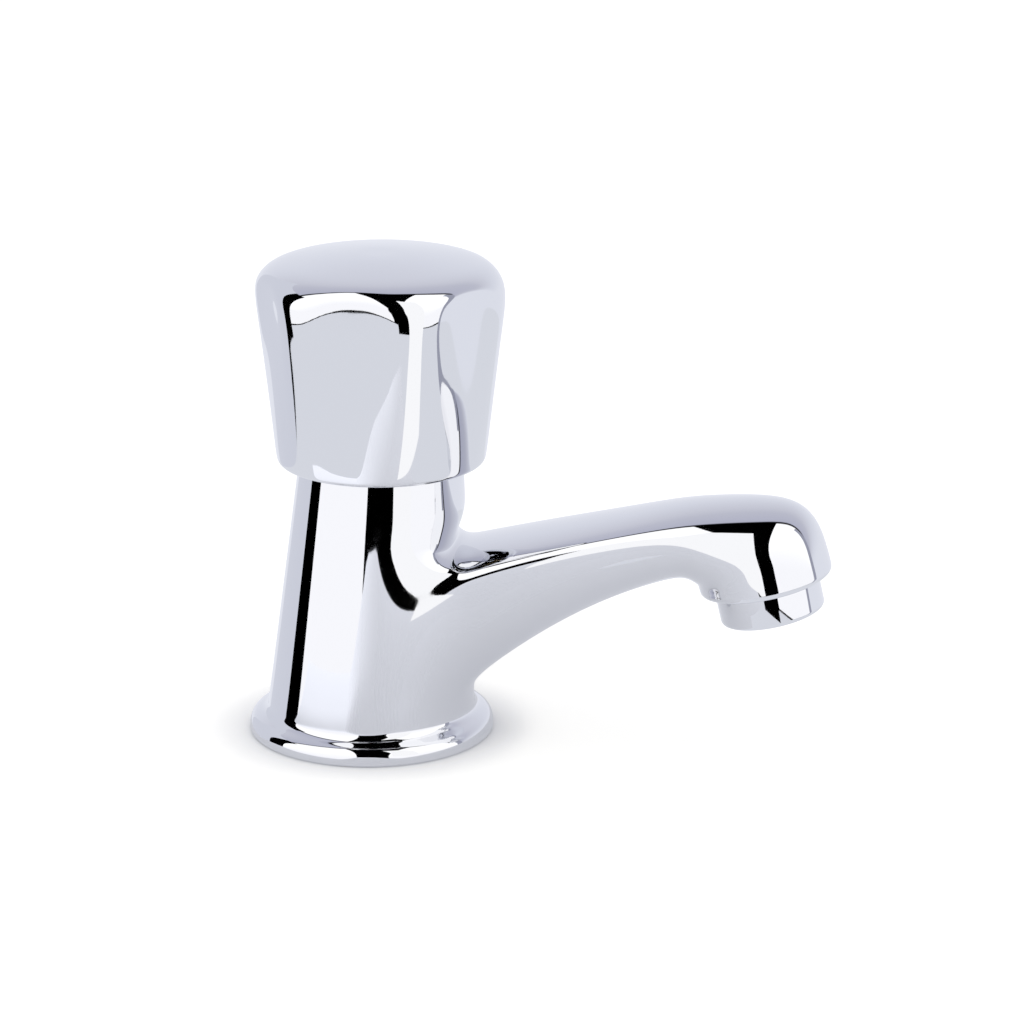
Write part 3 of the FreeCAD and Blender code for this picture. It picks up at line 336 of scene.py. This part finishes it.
def fluteDepth(radius, z, turn):
    # how far a point of the skirt is pressed in, this many degrees away from the middle of a flute
    share = (z - knob["floor"]) / (knob["top"] - knob["floor"])
    away = radians(min(turn, knob["widest"]))
    centre = knob["deepest"] + knob["hollow"]
    above = centre * cos(away) - sqrt(knob["hollow"] ** 2 - (centre * sin(away)) ** 2)
    depth = radius - (knob["runout"] * (1 - share) + above * share)
    soft = knob["edge"] + knob["blend"] * share
    return (depth + sqrt(depth ** 2 + soft ** 2)) / 2


def makeKnob():
    sides, axis = knob["sides"], knob["axis"]
    grow = swell(sides)
    deselectAll()
    radius, z = knob["rings"][0]
    bpy.ops.mesh.primitive_circle_add(vertices=sides, radius=radius * grow * mm, location=(0, 0, 0))
    piece = openPiece("knobShell")
    bpy.ops.transform.translate(value=(axis * mm, 0, z * mm))
    rings = [(ring[0] * grow, (axis, 0, ring[1])) for ring in knob["rings"][1:]]
    stepOn(rings, radius * grow, (axis, 0, z))
    bpy.ops.mesh.extrude_region_move()
    bpy.ops.mesh.merge(type="CENTER")
    step, sector = 360 / sides, 360 / knob["flutes"]
    for radius, z in knob["rings"][1:-3]:       # the crown's last rings stay round
        for count in range(int(sector / 2 / step) + 1):
            shrink = 1 - fluteDepth(radius, z, count * step) / radius

            def onRing(vert):
                turn = degrees(atan2(vert.co.y, vert.co.x - axis * mm)) + 90
                away = abs((turn + sector / 2) % sector - sector / 2)
                return abs(vert.co.z - z * mm) < hair and abs(away - count * step) < step / 4
            pick(piece, onRing)
            bpy.ops.transform.resize(value=(shrink, shrink, 1), center_override=(axis * mm, 0, z * mm))
    subdivide(piece, knob["smooth"])
    radius, z = knob["rings"][0]
    pick(piece, lambda edge: edge.is_boundary, "EDGE")
    stepOn([(ring[0], (axis, 0, ring[1])) for ring in knob["inside"]], radius, (axis, 0, z))
    bpy.ops.mesh.edge_face_add()
    bpy.ops.mesh.select_all(action="SELECT")
    turn = -radians(knob["turn"])
    bpy.ops.transform.rotate(value=turn, orient_axis="Z", center_override=(axis * mm, 0, 0))
    closePiece(piece, knob["sharp"])
    return piece


def drillKnob(piece):
    # the key's hole through the skirt at the back, and the screw's hole in the hub
    turn = radians(90 + knob["turn"])
    for radius, start, end in knob["holes"]:
        middle = (start + end) / 2
        place = (knob["axis"] + middle * cos(turn), middle * sin(turn), knob["holeHeight"])
        deselectAll()
        bpy.ops.mesh.primitive_cylinder_add(vertices=knob["holeSides"], radius=radius * mm,
                                            depth=(end - start) * mm, rotation=(0, pi / 2, turn),
                                            location=[part * mm for part in place])
        drill = bpy.context.object
        deselectAll()
        bpy.context.view_layer.objects.active = piece
        piece.select_set(True)
        hole = piece.modifiers.new("hole", "BOOLEAN")
        hole.operation = "DIFFERENCE"
        hole.solver = "EXACT"
        hole.object = drill
        bpy.ops.object.modifier_apply(modifier="hole")
        bpy.data.objects.remove(drill)


knobShell = makeKnob()
drillKnob(knobShell)
print("knob")


# Outlet collar, turned about the outlet's axis

collar = {
    "sides": 128, "sharp": 32,
    # radius and height above the outlet plane, round the outside and back through the bore
    "rings": [
        (8.5, 0.0), (10.0, 0.0), (10.38, 0.08), (10.71, 0.29), (10.92, 0.62), (11.0, 1.0), (11.0, 8.3),
        (10.8, 8.5), (9.9, 8.5), (9.9, 12.7), (9.6, 13.0), (9.3, 13.0), (9.3, 1.2), (8.7, 1.2), (8.5, 1.0),
    ],
}


def makeCollar():
    deselectAll()
    radius, above = collar["rings"][0]
    bpy.ops.mesh.primitive_circle_add(vertices=collar["sides"], radius=radius * mm, location=(0, 0, 0))
    piece = openPiece("outletCollar")
    rise = radians(casting["rise"])
    bpy.ops.transform.rotate(value=rise, orient_axis="Y", center_override=(0, 0, 0))
    bpy.ops.transform.translate(value=atSpout(0, above) * mm)
    rings = [(ring[0], atSpout(0, ring[1])) for ring in collar["rings"][1:]]
    stepOn(rings, radius, atSpout(0, above))
    pick(piece, lambda edge: edge.is_boundary, "EDGE")
    bpy.ops.mesh.bridge_edge_loops()
    closePiece(piece, collar["sharp"])
    return piece


outletCollar = makeCollar()
print("outlet collar")


# Finishes

def setMath(tree, operation, *inputs):
    # a math node of the tree, fed with sockets or plain numbers
    step = tree.nodes.new("ShaderNodeMath")
    step.operation = operation
    for slot, given in zip(step.inputs, inputs):
        if isinstance(given, (int, float)):
            slot.default_value = given
        else:
            tree.links.new(given, slot)
    return step.outputs[0]


def addNoise(tree, place, scale, detail=4.0):
    noise = tree.nodes.new("ShaderNodeTexNoise")
    noise.inputs["Scale"].default_value = scale
    noise.inputs["Detail"].default_value = detail
    tree.links.new(place, noise.inputs["Vector"])
    return noise.outputs["Fac"]


def addBump(tree, height, strength, depth):
    bump = tree.nodes.new("ShaderNodeBump")
    bump.inputs["Strength"].default_value = strength
    bump.inputs["Distance"].default_value = depth
    tree.links.new(height, bump.inputs["Height"])
    return bump.outputs["Normal"]


def spread(tree, value, low, high):
    # a value between 0 and 1 laid out between two others
    ramp = tree.nodes.new("ShaderNodeMapRange")
    ramp.inputs["To Min"].default_value = low
    ramp.inputs["To Max"].default_value = high
    tree.links.new(value, ramp.inputs["Value"])
    return ramp.outputs["Result"]


def tint(tree, value, low, high):
    # a colour between two others
    mix = tree.nodes.new("ShaderNodeMix")
    mix.data_type = "RGBA"
    mix.inputs["A"].default_value = (*low, 1)
    mix.inputs["B"].default_value = (*high, 1)
    tree.links.new(value, mix.inputs["Factor"])
    return mix.outputs["Result"]


def splitPlace(tree, place):
    axes = tree.nodes.new("ShaderNodeSeparateXYZ")
    tree.links.new(place, axes.inputs[0])
    return axes.outputs


def newFinish(name, metallic):
    finish = bpy.data.materials.new(name)
    finish.use_nodes = True
    tree = finish.node_tree
    shader = tree.nodes["Principled BSDF"]
    shader.inputs["Metallic"].default_value = metallic
    place = tree.nodes.new("ShaderNodeTexCoord").outputs["Object"]
    return finish, tree, shader, place


plating = {
    "colour": (0.83, 0.835, 0.86, 1),
    "haze": (900, 6), "rough": (0.015, 0.05),   # grain of the polishing haze, and the roughness it gives
    "swells": (160, 2), "relief": (0.02, 0.00002),      # grain of the unevenness, its strength and depth
}


def polishedChrome():
    # bright plating with a hint of unevenness and fine polishing haze
    finish, tree, shader, place = newFinish("polishedChrome", 1)
    shader.inputs["Base Color"].default_value = plating["colour"]
    haze = spread(tree, addNoise(tree, place, *plating["haze"]), *plating["rough"])
    tree.links.new(haze, shader.inputs["Roughness"])
    swells = addNoise(tree, place, *plating["swells"])
    tree.links.new(addBump(tree, swells, *plating["relief"]), shader.inputs["Normal"])
    return finish


machining = {"mottle": 260, "uneven": (0.75, 1.3), "relief": (0.25, 0.00004)}


def turnedMetal(name, low, high, rough, grooves):
    # machined metal: fine lines around the upright axis and a mottled tone
    finish, tree, shader, place = newFinish(name, 1)
    speck = addNoise(tree, place, machining["mottle"])
    tree.links.new(tint(tree, speck, low, high), shader.inputs["Base Color"])
    smoother, rougher = machining["uneven"]
    tree.links.new(spread(tree, speck, rough * smoother, rough * rougher), shader.inputs["Roughness"])
    up = splitPlace(tree, place)["Z"]
    lines = setMath(tree, "SINE", setMath(tree, "MULTIPLY", up, 2 * pi / grooves))
    both = setMath(tree, "ADD", lines, setMath(tree, "MULTIPLY", speck, 2.0))
    tree.links.new(addBump(tree, both, *machining["relief"]), shader.inputs["Normal"])
    return finish


tailThread = {
    "pitch": 0.001814,          # metres, as on a G1/2 pipe thread
    "tones": ((0.62, 0.44, 0.19), (0.78, 0.60, 0.30)), "rough": (0.22, 0.38), "relief": (0.9, 0.0006),
}


def threadedBrass():
    # the rolled thread of the tail: a helix about the flange's axis
    finish, tree, shader, place = newFinish("threadedBrass", 1)
    speck = addNoise(tree, place, machining["mottle"])
    tree.links.new(tint(tree, speck, *tailThread["tones"]), shader.inputs["Base Color"])
    tree.links.new(spread(tree, speck, *tailThread["rough"]), shader.inputs["Roughness"])
    axes = splitPlace(tree, place)
    turn = setMath(tree, "ARCTAN2", axes["Y"], axes["X"])
    climb = setMath(tree, "MULTIPLY", axes["Z"], 2 * pi / tailThread["pitch"])
    ridge = setMath(tree, "SINE", setMath(tree, "SUBTRACT", climb, turn))
    tree.links.new(addBump(tree, ridge, *tailThread["relief"]), shader.inputs["Normal"])
    return finish


moulding = {"detail": 8, "uneven": 0.08, "relief": 0.4}


def moulded(name, low, high, rough, grain, depth):
    # rubber, fibre or nylon: a fine grain in tone and surface
    finish, tree, shader, place = newFinish(name, 0)
    speck = addNoise(tree, place, grain, moulding["detail"])
    tree.links.new(tint(tree, speck, low, high), shader.inputs["Base Color"])
    uneven = moulding["uneven"]
    tree.links.new(spread(tree, speck, rough - uneven, rough + uneven), shader.inputs["Roughness"])
    tree.links.new(addBump(tree, speck, moulding["relief"], depth), shader.inputs["Normal"])
    return finish


screen = {
    "gap": 0.0008,              # metres that two wires and two meshes take
    # the first tone, near black, is painted shade in the meshes; the second is the wires' own grey
    "tones": ((0.03, 0.03, 0.035), (0.62, 0.63, 0.65)), "mottle": 500, "rough": (0.2, 0.4),
    "relief": (0.8, 0.0002),
}


def wovenWire():
    # the screens: a square weave of fine wires, with the meshes between them painted near black as painted
    # shade
    finish, tree, shader, place = newFinish("wovenWire", 1)
    axes = splitPlace(tree, place)
    weave = []
    for side in ("X", "Y"):
        wave = setMath(tree, "SINE", setMath(tree, "MULTIPLY", axes[side], 2 * pi / screen["gap"]))
        weave.append(setMath(tree, "ABSOLUTE", wave))
    wires = setMath(tree, "MAXIMUM", *weave)
    # painted shade between the wires, the wires' own grey on them
    tree.links.new(tint(tree, wires, *screen["tones"]), shader.inputs["Base Color"])
    speck = addNoise(tree, place, screen["mottle"])
    tree.links.new(spread(tree, speck, *screen["rough"]), shader.inputs["Roughness"])
    tree.links.new(addBump(tree, wires, *screen["relief"]), shader.inputs["Normal"])
    return finish


# darkest and lightest tone, roughness and distance of the grooves of what is turned,
# and of what is moulded the tones, roughness, fineness and depth of the grain
turned = {
    "turnedBrass": ((0.64, 0.46, 0.20), (0.80, 0.62, 0.31), 0.28, 0.00045),
    "springSteel": ((0.46, 0.46, 0.47), (0.60, 0.60, 0.62), 0.3, 0.0006),
}
soft = {
    "blackRubber": ((0.012, 0.012, 0.013), (0.03, 0.03, 0.032), 0.62, 700, 0.00005),
    "closedFoam": ((0.02, 0.02, 0.021), (0.07, 0.07, 0.075), 0.85, 1500, 0.0003),
    "redFibre": ((0.20, 0.05, 0.03), (0.36, 0.12, 0.07), 0.75, 420, 0.0001),
    "paleNylon": ((0.72, 0.72, 0.70), (0.82, 0.82, 0.80), 0.45, 300, 0.00003),
}
finished = {
    "threadedBrass": ["inlet_tail"],
    "turnedBrass": ["backnut", "headwork_bonnet", "spindle", "valve_carrier", "washer_nut", "knob_insert",
                    "thrust_washer"],
    "springSteel": ["spindle_circlip", "knob_grub_screw", "tail_washer"],
    "blackRubber": ["spindle_ring_lower", "spindle_ring_upper", "tap_washer", "nozzle_seal"],
    "closedFoam": ["deck_gasket"],
    "redFibre": ["tail_seal", "headwork_seal"],
    "paleNylon": ["aerator_insert"],
    "wovenWire": ["aerator_screen_lower", "aerator_screen_upper"],
}
chrome = polishedChrome()
finishes = {name: turnedMetal(name, *made) for name, made in turned.items()}
finishes["threadedBrass"] = threadedBrass()
finishes.update({name: moulded(name, *made) for name, made in soft.items()})
finishes["wovenWire"] = wovenWire()
for finish, names in finished.items():
    for name in names:
        nodes[name].data.materials.clear()
        nodes[name].data.materials.append(finishes[finish])

for piece, body, node in ((tapCasting, "fixed", "tap_body"), (outletCollar, "fixed", "nozzle_collar"),
                          (knobShell, "knob", "knob_shell")):
    piece.data.materials.clear()
    piece.data.materials.append(chrome)
    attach(piece, body)
    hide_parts(node)
print("finishes")


# Studio: what the chrome shows is painted in the world by direction, with a low floor and a card close by

toLens = Vector((-viewForward.x, -viewForward.y, 0)).normalized()
toRight = Vector((viewRight.x, viewRight.y, 0)).normalized()


def newLight(name):
    # an empty material for things that glow
    finish = bpy.data.materials.new(name)
    finish.use_nodes = True
    tree = finish.node_tree
    tree.nodes.clear()
    return finish, tree, tree.nodes.new("ShaderNodeEmission"), tree.nodes.new("ShaderNodeOutputMaterial")


def addPaint(tree, tone, lift, output):
    # a matt surface that also glows a little
    paint = tree.nodes.new("ShaderNodeBsdfDiffuse")
    paint.inputs["Color"].default_value = (*tone, 1)
    both = tree.nodes.new("ShaderNodeAddShader")
    tree.links.new(paint.outputs[0], both.inputs[0])
    tree.links.new(lift.outputs[0], both.inputs[1])
    tree.links.new(both.outputs[0], output.inputs["Surface"])


def onlyReflected(thing, finish):
    # the chrome shows it, and nothing else does
    thing.data.materials.append(finish)
    thing.visible_camera = thing.visible_diffuse = thing.visible_shadow = thing.visible_transmission = False


def alongAxis(tree, place, axis):
    # how far a place or direction goes along an axis
    dot = tree.nodes.new("ShaderNodeVectorMath")
    dot.operation = "DOT_PRODUCT"
    tree.links.new(place, dot.inputs[0])
    dot.inputs[1].default_value = axis
    return dot.outputs["Value"]


def mixColour(tree, share, first, second):
    # blends two colours, each a socket or a plain tone
    mix = tree.nodes.new("ShaderNodeMix")
    mix.data_type = "RGBA"
    mix.clamp_result = False
    for slot, given in ((0, share), (6, first), (7, second)):
        if isinstance(given, tuple):
            mix.inputs[slot].default_value = (*given, 1)
        else:
            tree.links.new(given, mix.inputs[slot])
    return mix.outputs["Result"]


black, white = (0, 0, 0), (1, 1, 1)
studio = {
    # brightness and colour from the front over the top to the back, in degrees
    "sweep": [
        (0, (1.12, 1.12, 1.14)), (40, (1.25, 1.25, 1.25)), (94, (1.25, 1.25, 1.25)), (96, black), (99, black),
        (101, (0.52, 0.53, 0.64)), (124, (0.58, 0.59, 0.68)), (136, (0.66, 0.67, 0.75)),
        (158, (0.76, 0.78, 0.86)), (180, (0.84, 0.86, 0.93)),
    ],
    # a dark gap for the lens: how far it opens to the left and right, as slopes, at the bottom and from
    # the height of "gapWide" on, up to "gapEnd"
    "lensGap": ((0.285, 0.34), (0.21, 0.30)), "gapWide": 12, "gapEnd": 98,
    # where the floor's tone starts, how much lower below the lens and between which angles, and the dark line
    "horizon": -19.5, "dip": 5.0, "dipBetween": (-10, 18), "line": 0.9,
    "floorTone": (0.78, 0.80, 0.855),
    # strips at the sides: first and last angle, their tone, and their lower and upper end
    "strips": [(-150, -107, (0.70, 0.72, 0.80)), (-107, -88, black), (88, 94, (0.36, 0.37, 0.45))],
    "stripEnds": (-24, 42),
    "room": (0.76, 0.775, 0.84),        # what lights the object and the floor
}


def addWorld():
    world = bpy.data.worlds.new("studio")
    bpy.context.scene.world = world
    world.use_nodes = True
    tree = world.node_tree
    tree.nodes.clear()
    direction = tree.nodes.new("ShaderNodeTexCoord").outputs["Generated"]

    def between(value, low, high):
        return setMath(tree, "MULTIPLY", setMath(tree, "GREATER_THAN", value, low),
                       setMath(tree, "LESS_THAN", value, high))
    front, right, up = (alongAxis(tree, direction, axis) for axis in (toLens, toRight, (0, 0, 1)))
    overhead = setMath(tree, "ARCTAN2", setMath(tree, "MAXIMUM", up, 0.0), front)
    sideways = setMath(tree, "ARCTAN2", right, front)
    rise = setMath(tree, "ARCSINE", up)

    # the sweep of sheets, and the gap in it
    sweep = tree.nodes.new("ShaderNodeValToRGB")
    stops = sweep.color_ramp.elements
    while len(stops) < len(studio["sweep"]):
        stops.new(1.0)
    for stop, (angle, tone) in zip(stops, studio["sweep"]):
        stop.position = angle / 180
        stop.color = (*tone, 1)
    tree.links.new(setMath(tree, "DIVIDE", overhead, pi), sweep.inputs[0])
    level = setMath(tree, "SQRT", setMath(tree, "SUBTRACT", 1.0, setMath(tree, "MULTIPLY", right, right)))
    slope = setMath(tree, "DIVIDE", right, level)
    gap = setMath(tree, "LESS_THAN", overhead, radians(studio["gapEnd"]))
    for side, sign in ((0, -1.0), (1, 1.0)):
        low, high = (reach[side] for reach in studio["lensGap"])
        edge = tree.nodes.new("ShaderNodeMapRange")
        edge.inputs["From Max"].default_value = radians(studio["gapWide"])
        edge.inputs["To Min"].default_value = low
        edge.inputs["To Max"].default_value = high
        tree.links.new(overhead, edge.inputs["Value"])
        within = setMath(tree, "LESS_THAN", setMath(tree, "MULTIPLY", slope, sign), edge.outputs["Result"])
        gap = setMath(tree, "MULTIPLY", gap, within)
    shown = mixColour(tree, gap, sweep.outputs["Color"], black)

    # the floor's tone below the horizon, with a dark line along its front
    horizon = radians(studio["horizon"])
    first, last = studio["dipBetween"]
    dip = setMath(tree, "MULTIPLY", between(sideways, radians(first), radians(last)), radians(studio["dip"]))
    dipped = setMath(tree, "ADD", rise, dip)
    line = setMath(tree, "MULTIPLY", between(dipped, horizon, horizon + radians(studio["line"])),
                   setMath(tree, "GREATER_THAN", front, 0.0))
    shown = mixColour(tree, line, shown, black)
    shown = mixColour(tree, setMath(tree, "LESS_THAN", dipped, horizon), shown, studio["floorTone"])

    upright = between(rise, *(radians(end) for end in studio["stripEnds"]))
    for start, end, tone in studio["strips"]:
        strip = setMath(tree, "MULTIPLY", between(sideways, radians(start), radians(end)), upright)
        shown = mixColour(tree, strip, shown, tone)

    # the chrome gets the painted studio, the camera plain white, and all else the room's light
    sources = []
    for tone in (studio["room"], shown, white):
        source = tree.nodes.new("ShaderNodeBackground")
        if isinstance(tone, tuple):
            source.inputs["Color"].default_value = (*tone, 1)
        else:
            tree.links.new(tone, source.inputs["Color"])
        sources.append(source.outputs[0])
    rays = tree.nodes.new("ShaderNodeLightPath")
    light = sources[0]
    for kind, source in (("Is Glossy Ray", sources[1]), ("Is Camera Ray", sources[2])):
        blend = tree.nodes.new("ShaderNodeMixShader")
        tree.links.new(rays.outputs[kind], blend.inputs[0])
        tree.links.new(light, blend.inputs[1])
        tree.links.new(source, blend.inputs[2])
        light = blend.outputs[0]
    tree.links.new(light, tree.nodes.new("ShaderNodeOutputWorld").inputs["Surface"])


addWorld()


# The wide pale floor: white to the camera, with the tap's real shadow and a painted shadow along the flange,
# and absent from the chrome

floor = {
    "size": 30, "tone": (0.80, 0.80, 0.80), "lift": (1, 0.97, 0.86), "strength": 0.43,
    # corner and cornerDepth set how wide and dark the painted shadow along the flange is
    "corner": 0.016, "cornerDepth": 3.0, "samples": 8,      # how wide and dark the shadow along the flange is
}


def addFloor():
    deselectAll()
    bpy.ops.mesh.primitive_plane_add(size=floor["size"], location=(0, 0, 0))
    sheet = bpy.context.object
    sheet.name = "floor"
    sheet.visible_glossy = False
    finish, tree, lift, output = newLight("paleFloor")
    lift.inputs["Color"].default_value = (*floor["lift"], 1)
    rays = tree.nodes.new("ShaderNodeLightPath")
    corner = tree.nodes.new("ShaderNodeAmbientOcclusion")
    corner.samples = floor["samples"]
    corner.inputs["Distance"].default_value = floor["corner"]
    # painted shadow: the glow that whitens the floor fades by ambient occlusion close to the tap
    clear = setMath(tree, "MULTIPLY", rays.outputs["Is Camera Ray"],
                    setMath(tree, "POWER", corner.outputs["AO"], floor["cornerDepth"]))
    tree.links.new(setMath(tree, "MULTIPLY", clear, floor["strength"]), lift.inputs["Strength"])
    addPaint(tree, floor["tone"], lift, output)
    sheet.data.materials.append(finish)


addFloor()


# Apron: the floor close to the tap as the chrome shows it, which rises a little below the lens; its glow is
# painted light in the chrome, brighter towards the front edge and at the left of the lens, while its matt
# paint takes the tap's real shadow

apron = {
    "sides": 120, "inner": 30, "above": 0.02,       # mm
    "front": (135, 28), "right": (70, 4),           # reach and height of its edge, in mm
    # angles from the lens between which the edge rises at the left, sinks at the right and draws in
    "rises": (-22, -10), "sinks": (3, 25), "drawsIn": (30, 42),
    "between": (-75, 150),                          # it is cut away outside these angles
    # tone of the matt paint, and colour of the painted glow
    "tone": (0.55, 0.55, 0.55), "lift": (0.965, 0.985, 1.05),
    # strength of the painted glow
    "strength": (0.24, 0.34),                       # in the middle and at the front edge
    # how much painted light is added at the left of the lens, and from and to which angle and distance that
    # grows
    "leftPaintedLight": 0.30, "extraTurn": (8, -26), "extraReach": (45, 85),
}


def shareOf(value, start, end):
    # 0 at the start, 1 at the end
    return min(max((value - start) / (end - start), 0), 1)


def turnOf(spot):
    # its angle to the right of the lens
    return atan2(spot.dot(toRight), spot.dot(toLens))


def addApron():
    inner = apron["inner"]
    deselectAll()
    bpy.ops.mesh.primitive_circle_add(vertices=apron["sides"], radius=inner * mm, fill_type="NGON",
                                      location=(0, 0, apron["above"] * mm))
    sheet = openPiece("apron")
    pick(sheet, lambda edge: True, "EDGE")
    bpy.ops.mesh.extrude_edges_move()
    (frontReach, frontHeight), (rightReach, rightHeight) = apron["front"], apron["right"]
    for vert in [vert for vert in shapeOf(sheet).verts if vert.select]:
        turn = degrees(turnOf(vert.co))
        reach = frontReach + (rightReach - frontReach) * shareOf(turn, *apron["drawsIn"])
        height = frontHeight + (rightHeight - frontHeight) * shareOf(turn, *apron["sinks"])
        vert.co.x, vert.co.y = vert.co.x * reach / inner, vert.co.y * reach / inner
        vert.co.z += height * shareOf(turn, *apron["rises"]) * mm
    bmesh.update_edit_mesh(sheet.data)
    start, end = (radians(turn) for turn in apron["between"])

    def outOfSight(face):
        return len(face.verts) == 4 and not start < turnOf(face.calc_center_median()) < end
    pick(sheet, outOfSight, "FACE")
    bpy.ops.mesh.delete(type="FACE")
    bpy.ops.object.mode_set(mode="OBJECT")

    finish, tree, lift, output = newLight("apronTone")
    place = tree.nodes.new("ShaderNodeTexCoord").outputs["Object"]
    reach = tree.nodes.new("ShaderNodeVectorMath")
    reach.operation = "LENGTH"
    tree.links.new(place, reach.inputs[0])
    reach = reach.outputs["Value"]
    share = setMath(tree, "DIVIDE", reach, frontReach * mm)
    plain = spread(tree, setMath(tree, "MULTIPLY", share, share), *apron["strength"])
    turn = setMath(tree, "ARCTAN2", alongAxis(tree, place, toRight), alongAxis(tree, place, toLens))
    leftPaintedLight = apron["leftPaintedLight"]
    for value, (none, full), unit in ((turn, apron["extraTurn"], pi / 180), (reach, apron["extraReach"], mm)):
        ease = tree.nodes.new("ShaderNodeMapRange")
        ease.interpolation_type = "SMOOTHSTEP"
        ease.inputs["From Min"].default_value = none * unit
        ease.inputs["From Max"].default_value = full * unit
        tree.links.new(value, ease.inputs["Value"])
        leftPaintedLight = setMath(tree, "MULTIPLY", leftPaintedLight, ease.outputs["Result"])
    # the painted light: the glow grows towards the front edge and is brighter at the left of the lens
    lift.inputs["Color"].default_value = (*apron["lift"], 1)
    tree.links.new(setMath(tree, "ADD", plain, leftPaintedLight), lift.inputs["Strength"])
    addPaint(tree, apron["tone"], lift, output)
    onlyReflected(sheet, finish)


addApron()


# A white card in front of the spout, made as a glow that lights nothing and that only the chrome shows: a
# painted reflection

card = {
    "middle": (65.5, -80), "width": 51, "low": 16, "high": 230,     # mm
    "strength": 1.12,
}


def addCard():
    low, high = card["low"], card["high"]
    deselectAll()
    bpy.ops.mesh.primitive_plane_add(size=mm, location=(0, 0, 0))
    sheet = openPiece("whiteCard")
    bpy.ops.transform.resize(value=(card["width"], high - low, 1), center_override=(0, 0, 0))
    bpy.ops.transform.rotate(value=pi / 2, orient_axis="X", center_override=(0, 0, 0))
    bpy.ops.transform.translate(value=Vector((*card["middle"], (low + high) / 2)) * mm)
    bpy.ops.object.mode_set(mode="OBJECT")
    finish, tree, glow, output = newLight("whiteCard")
    # the card's painted glow
    glow.inputs["Strength"].default_value = card["strength"]
    tree.links.new(glow.outputs[0], output.inputs["Surface"])
    onlyReflected(sheet, finish)


addCard()


# A soft lamp above, which the chrome doesn't show

lamp = {"place": (0, -0.3, 1.2), "turn": (-0.245, 0, 0), "size": 1.6, "energy": 3}


def addLamp():
    deselectAll()
    bpy.ops.object.light_add(type="AREA", location=lamp["place"])
    light = bpy.context.object
    light.name = "softLamp"
    light.data.shape = "RECTANGLE"
    light.data.size = light.data.size_y = lamp["size"]
    light.data.energy = lamp["energy"]
    light.rotation_euler = lamp["turn"]
    light.visible_glossy = False


addLamp()
bpy.context.scene.view_settings.view_transform = "Standard"
print("studio")
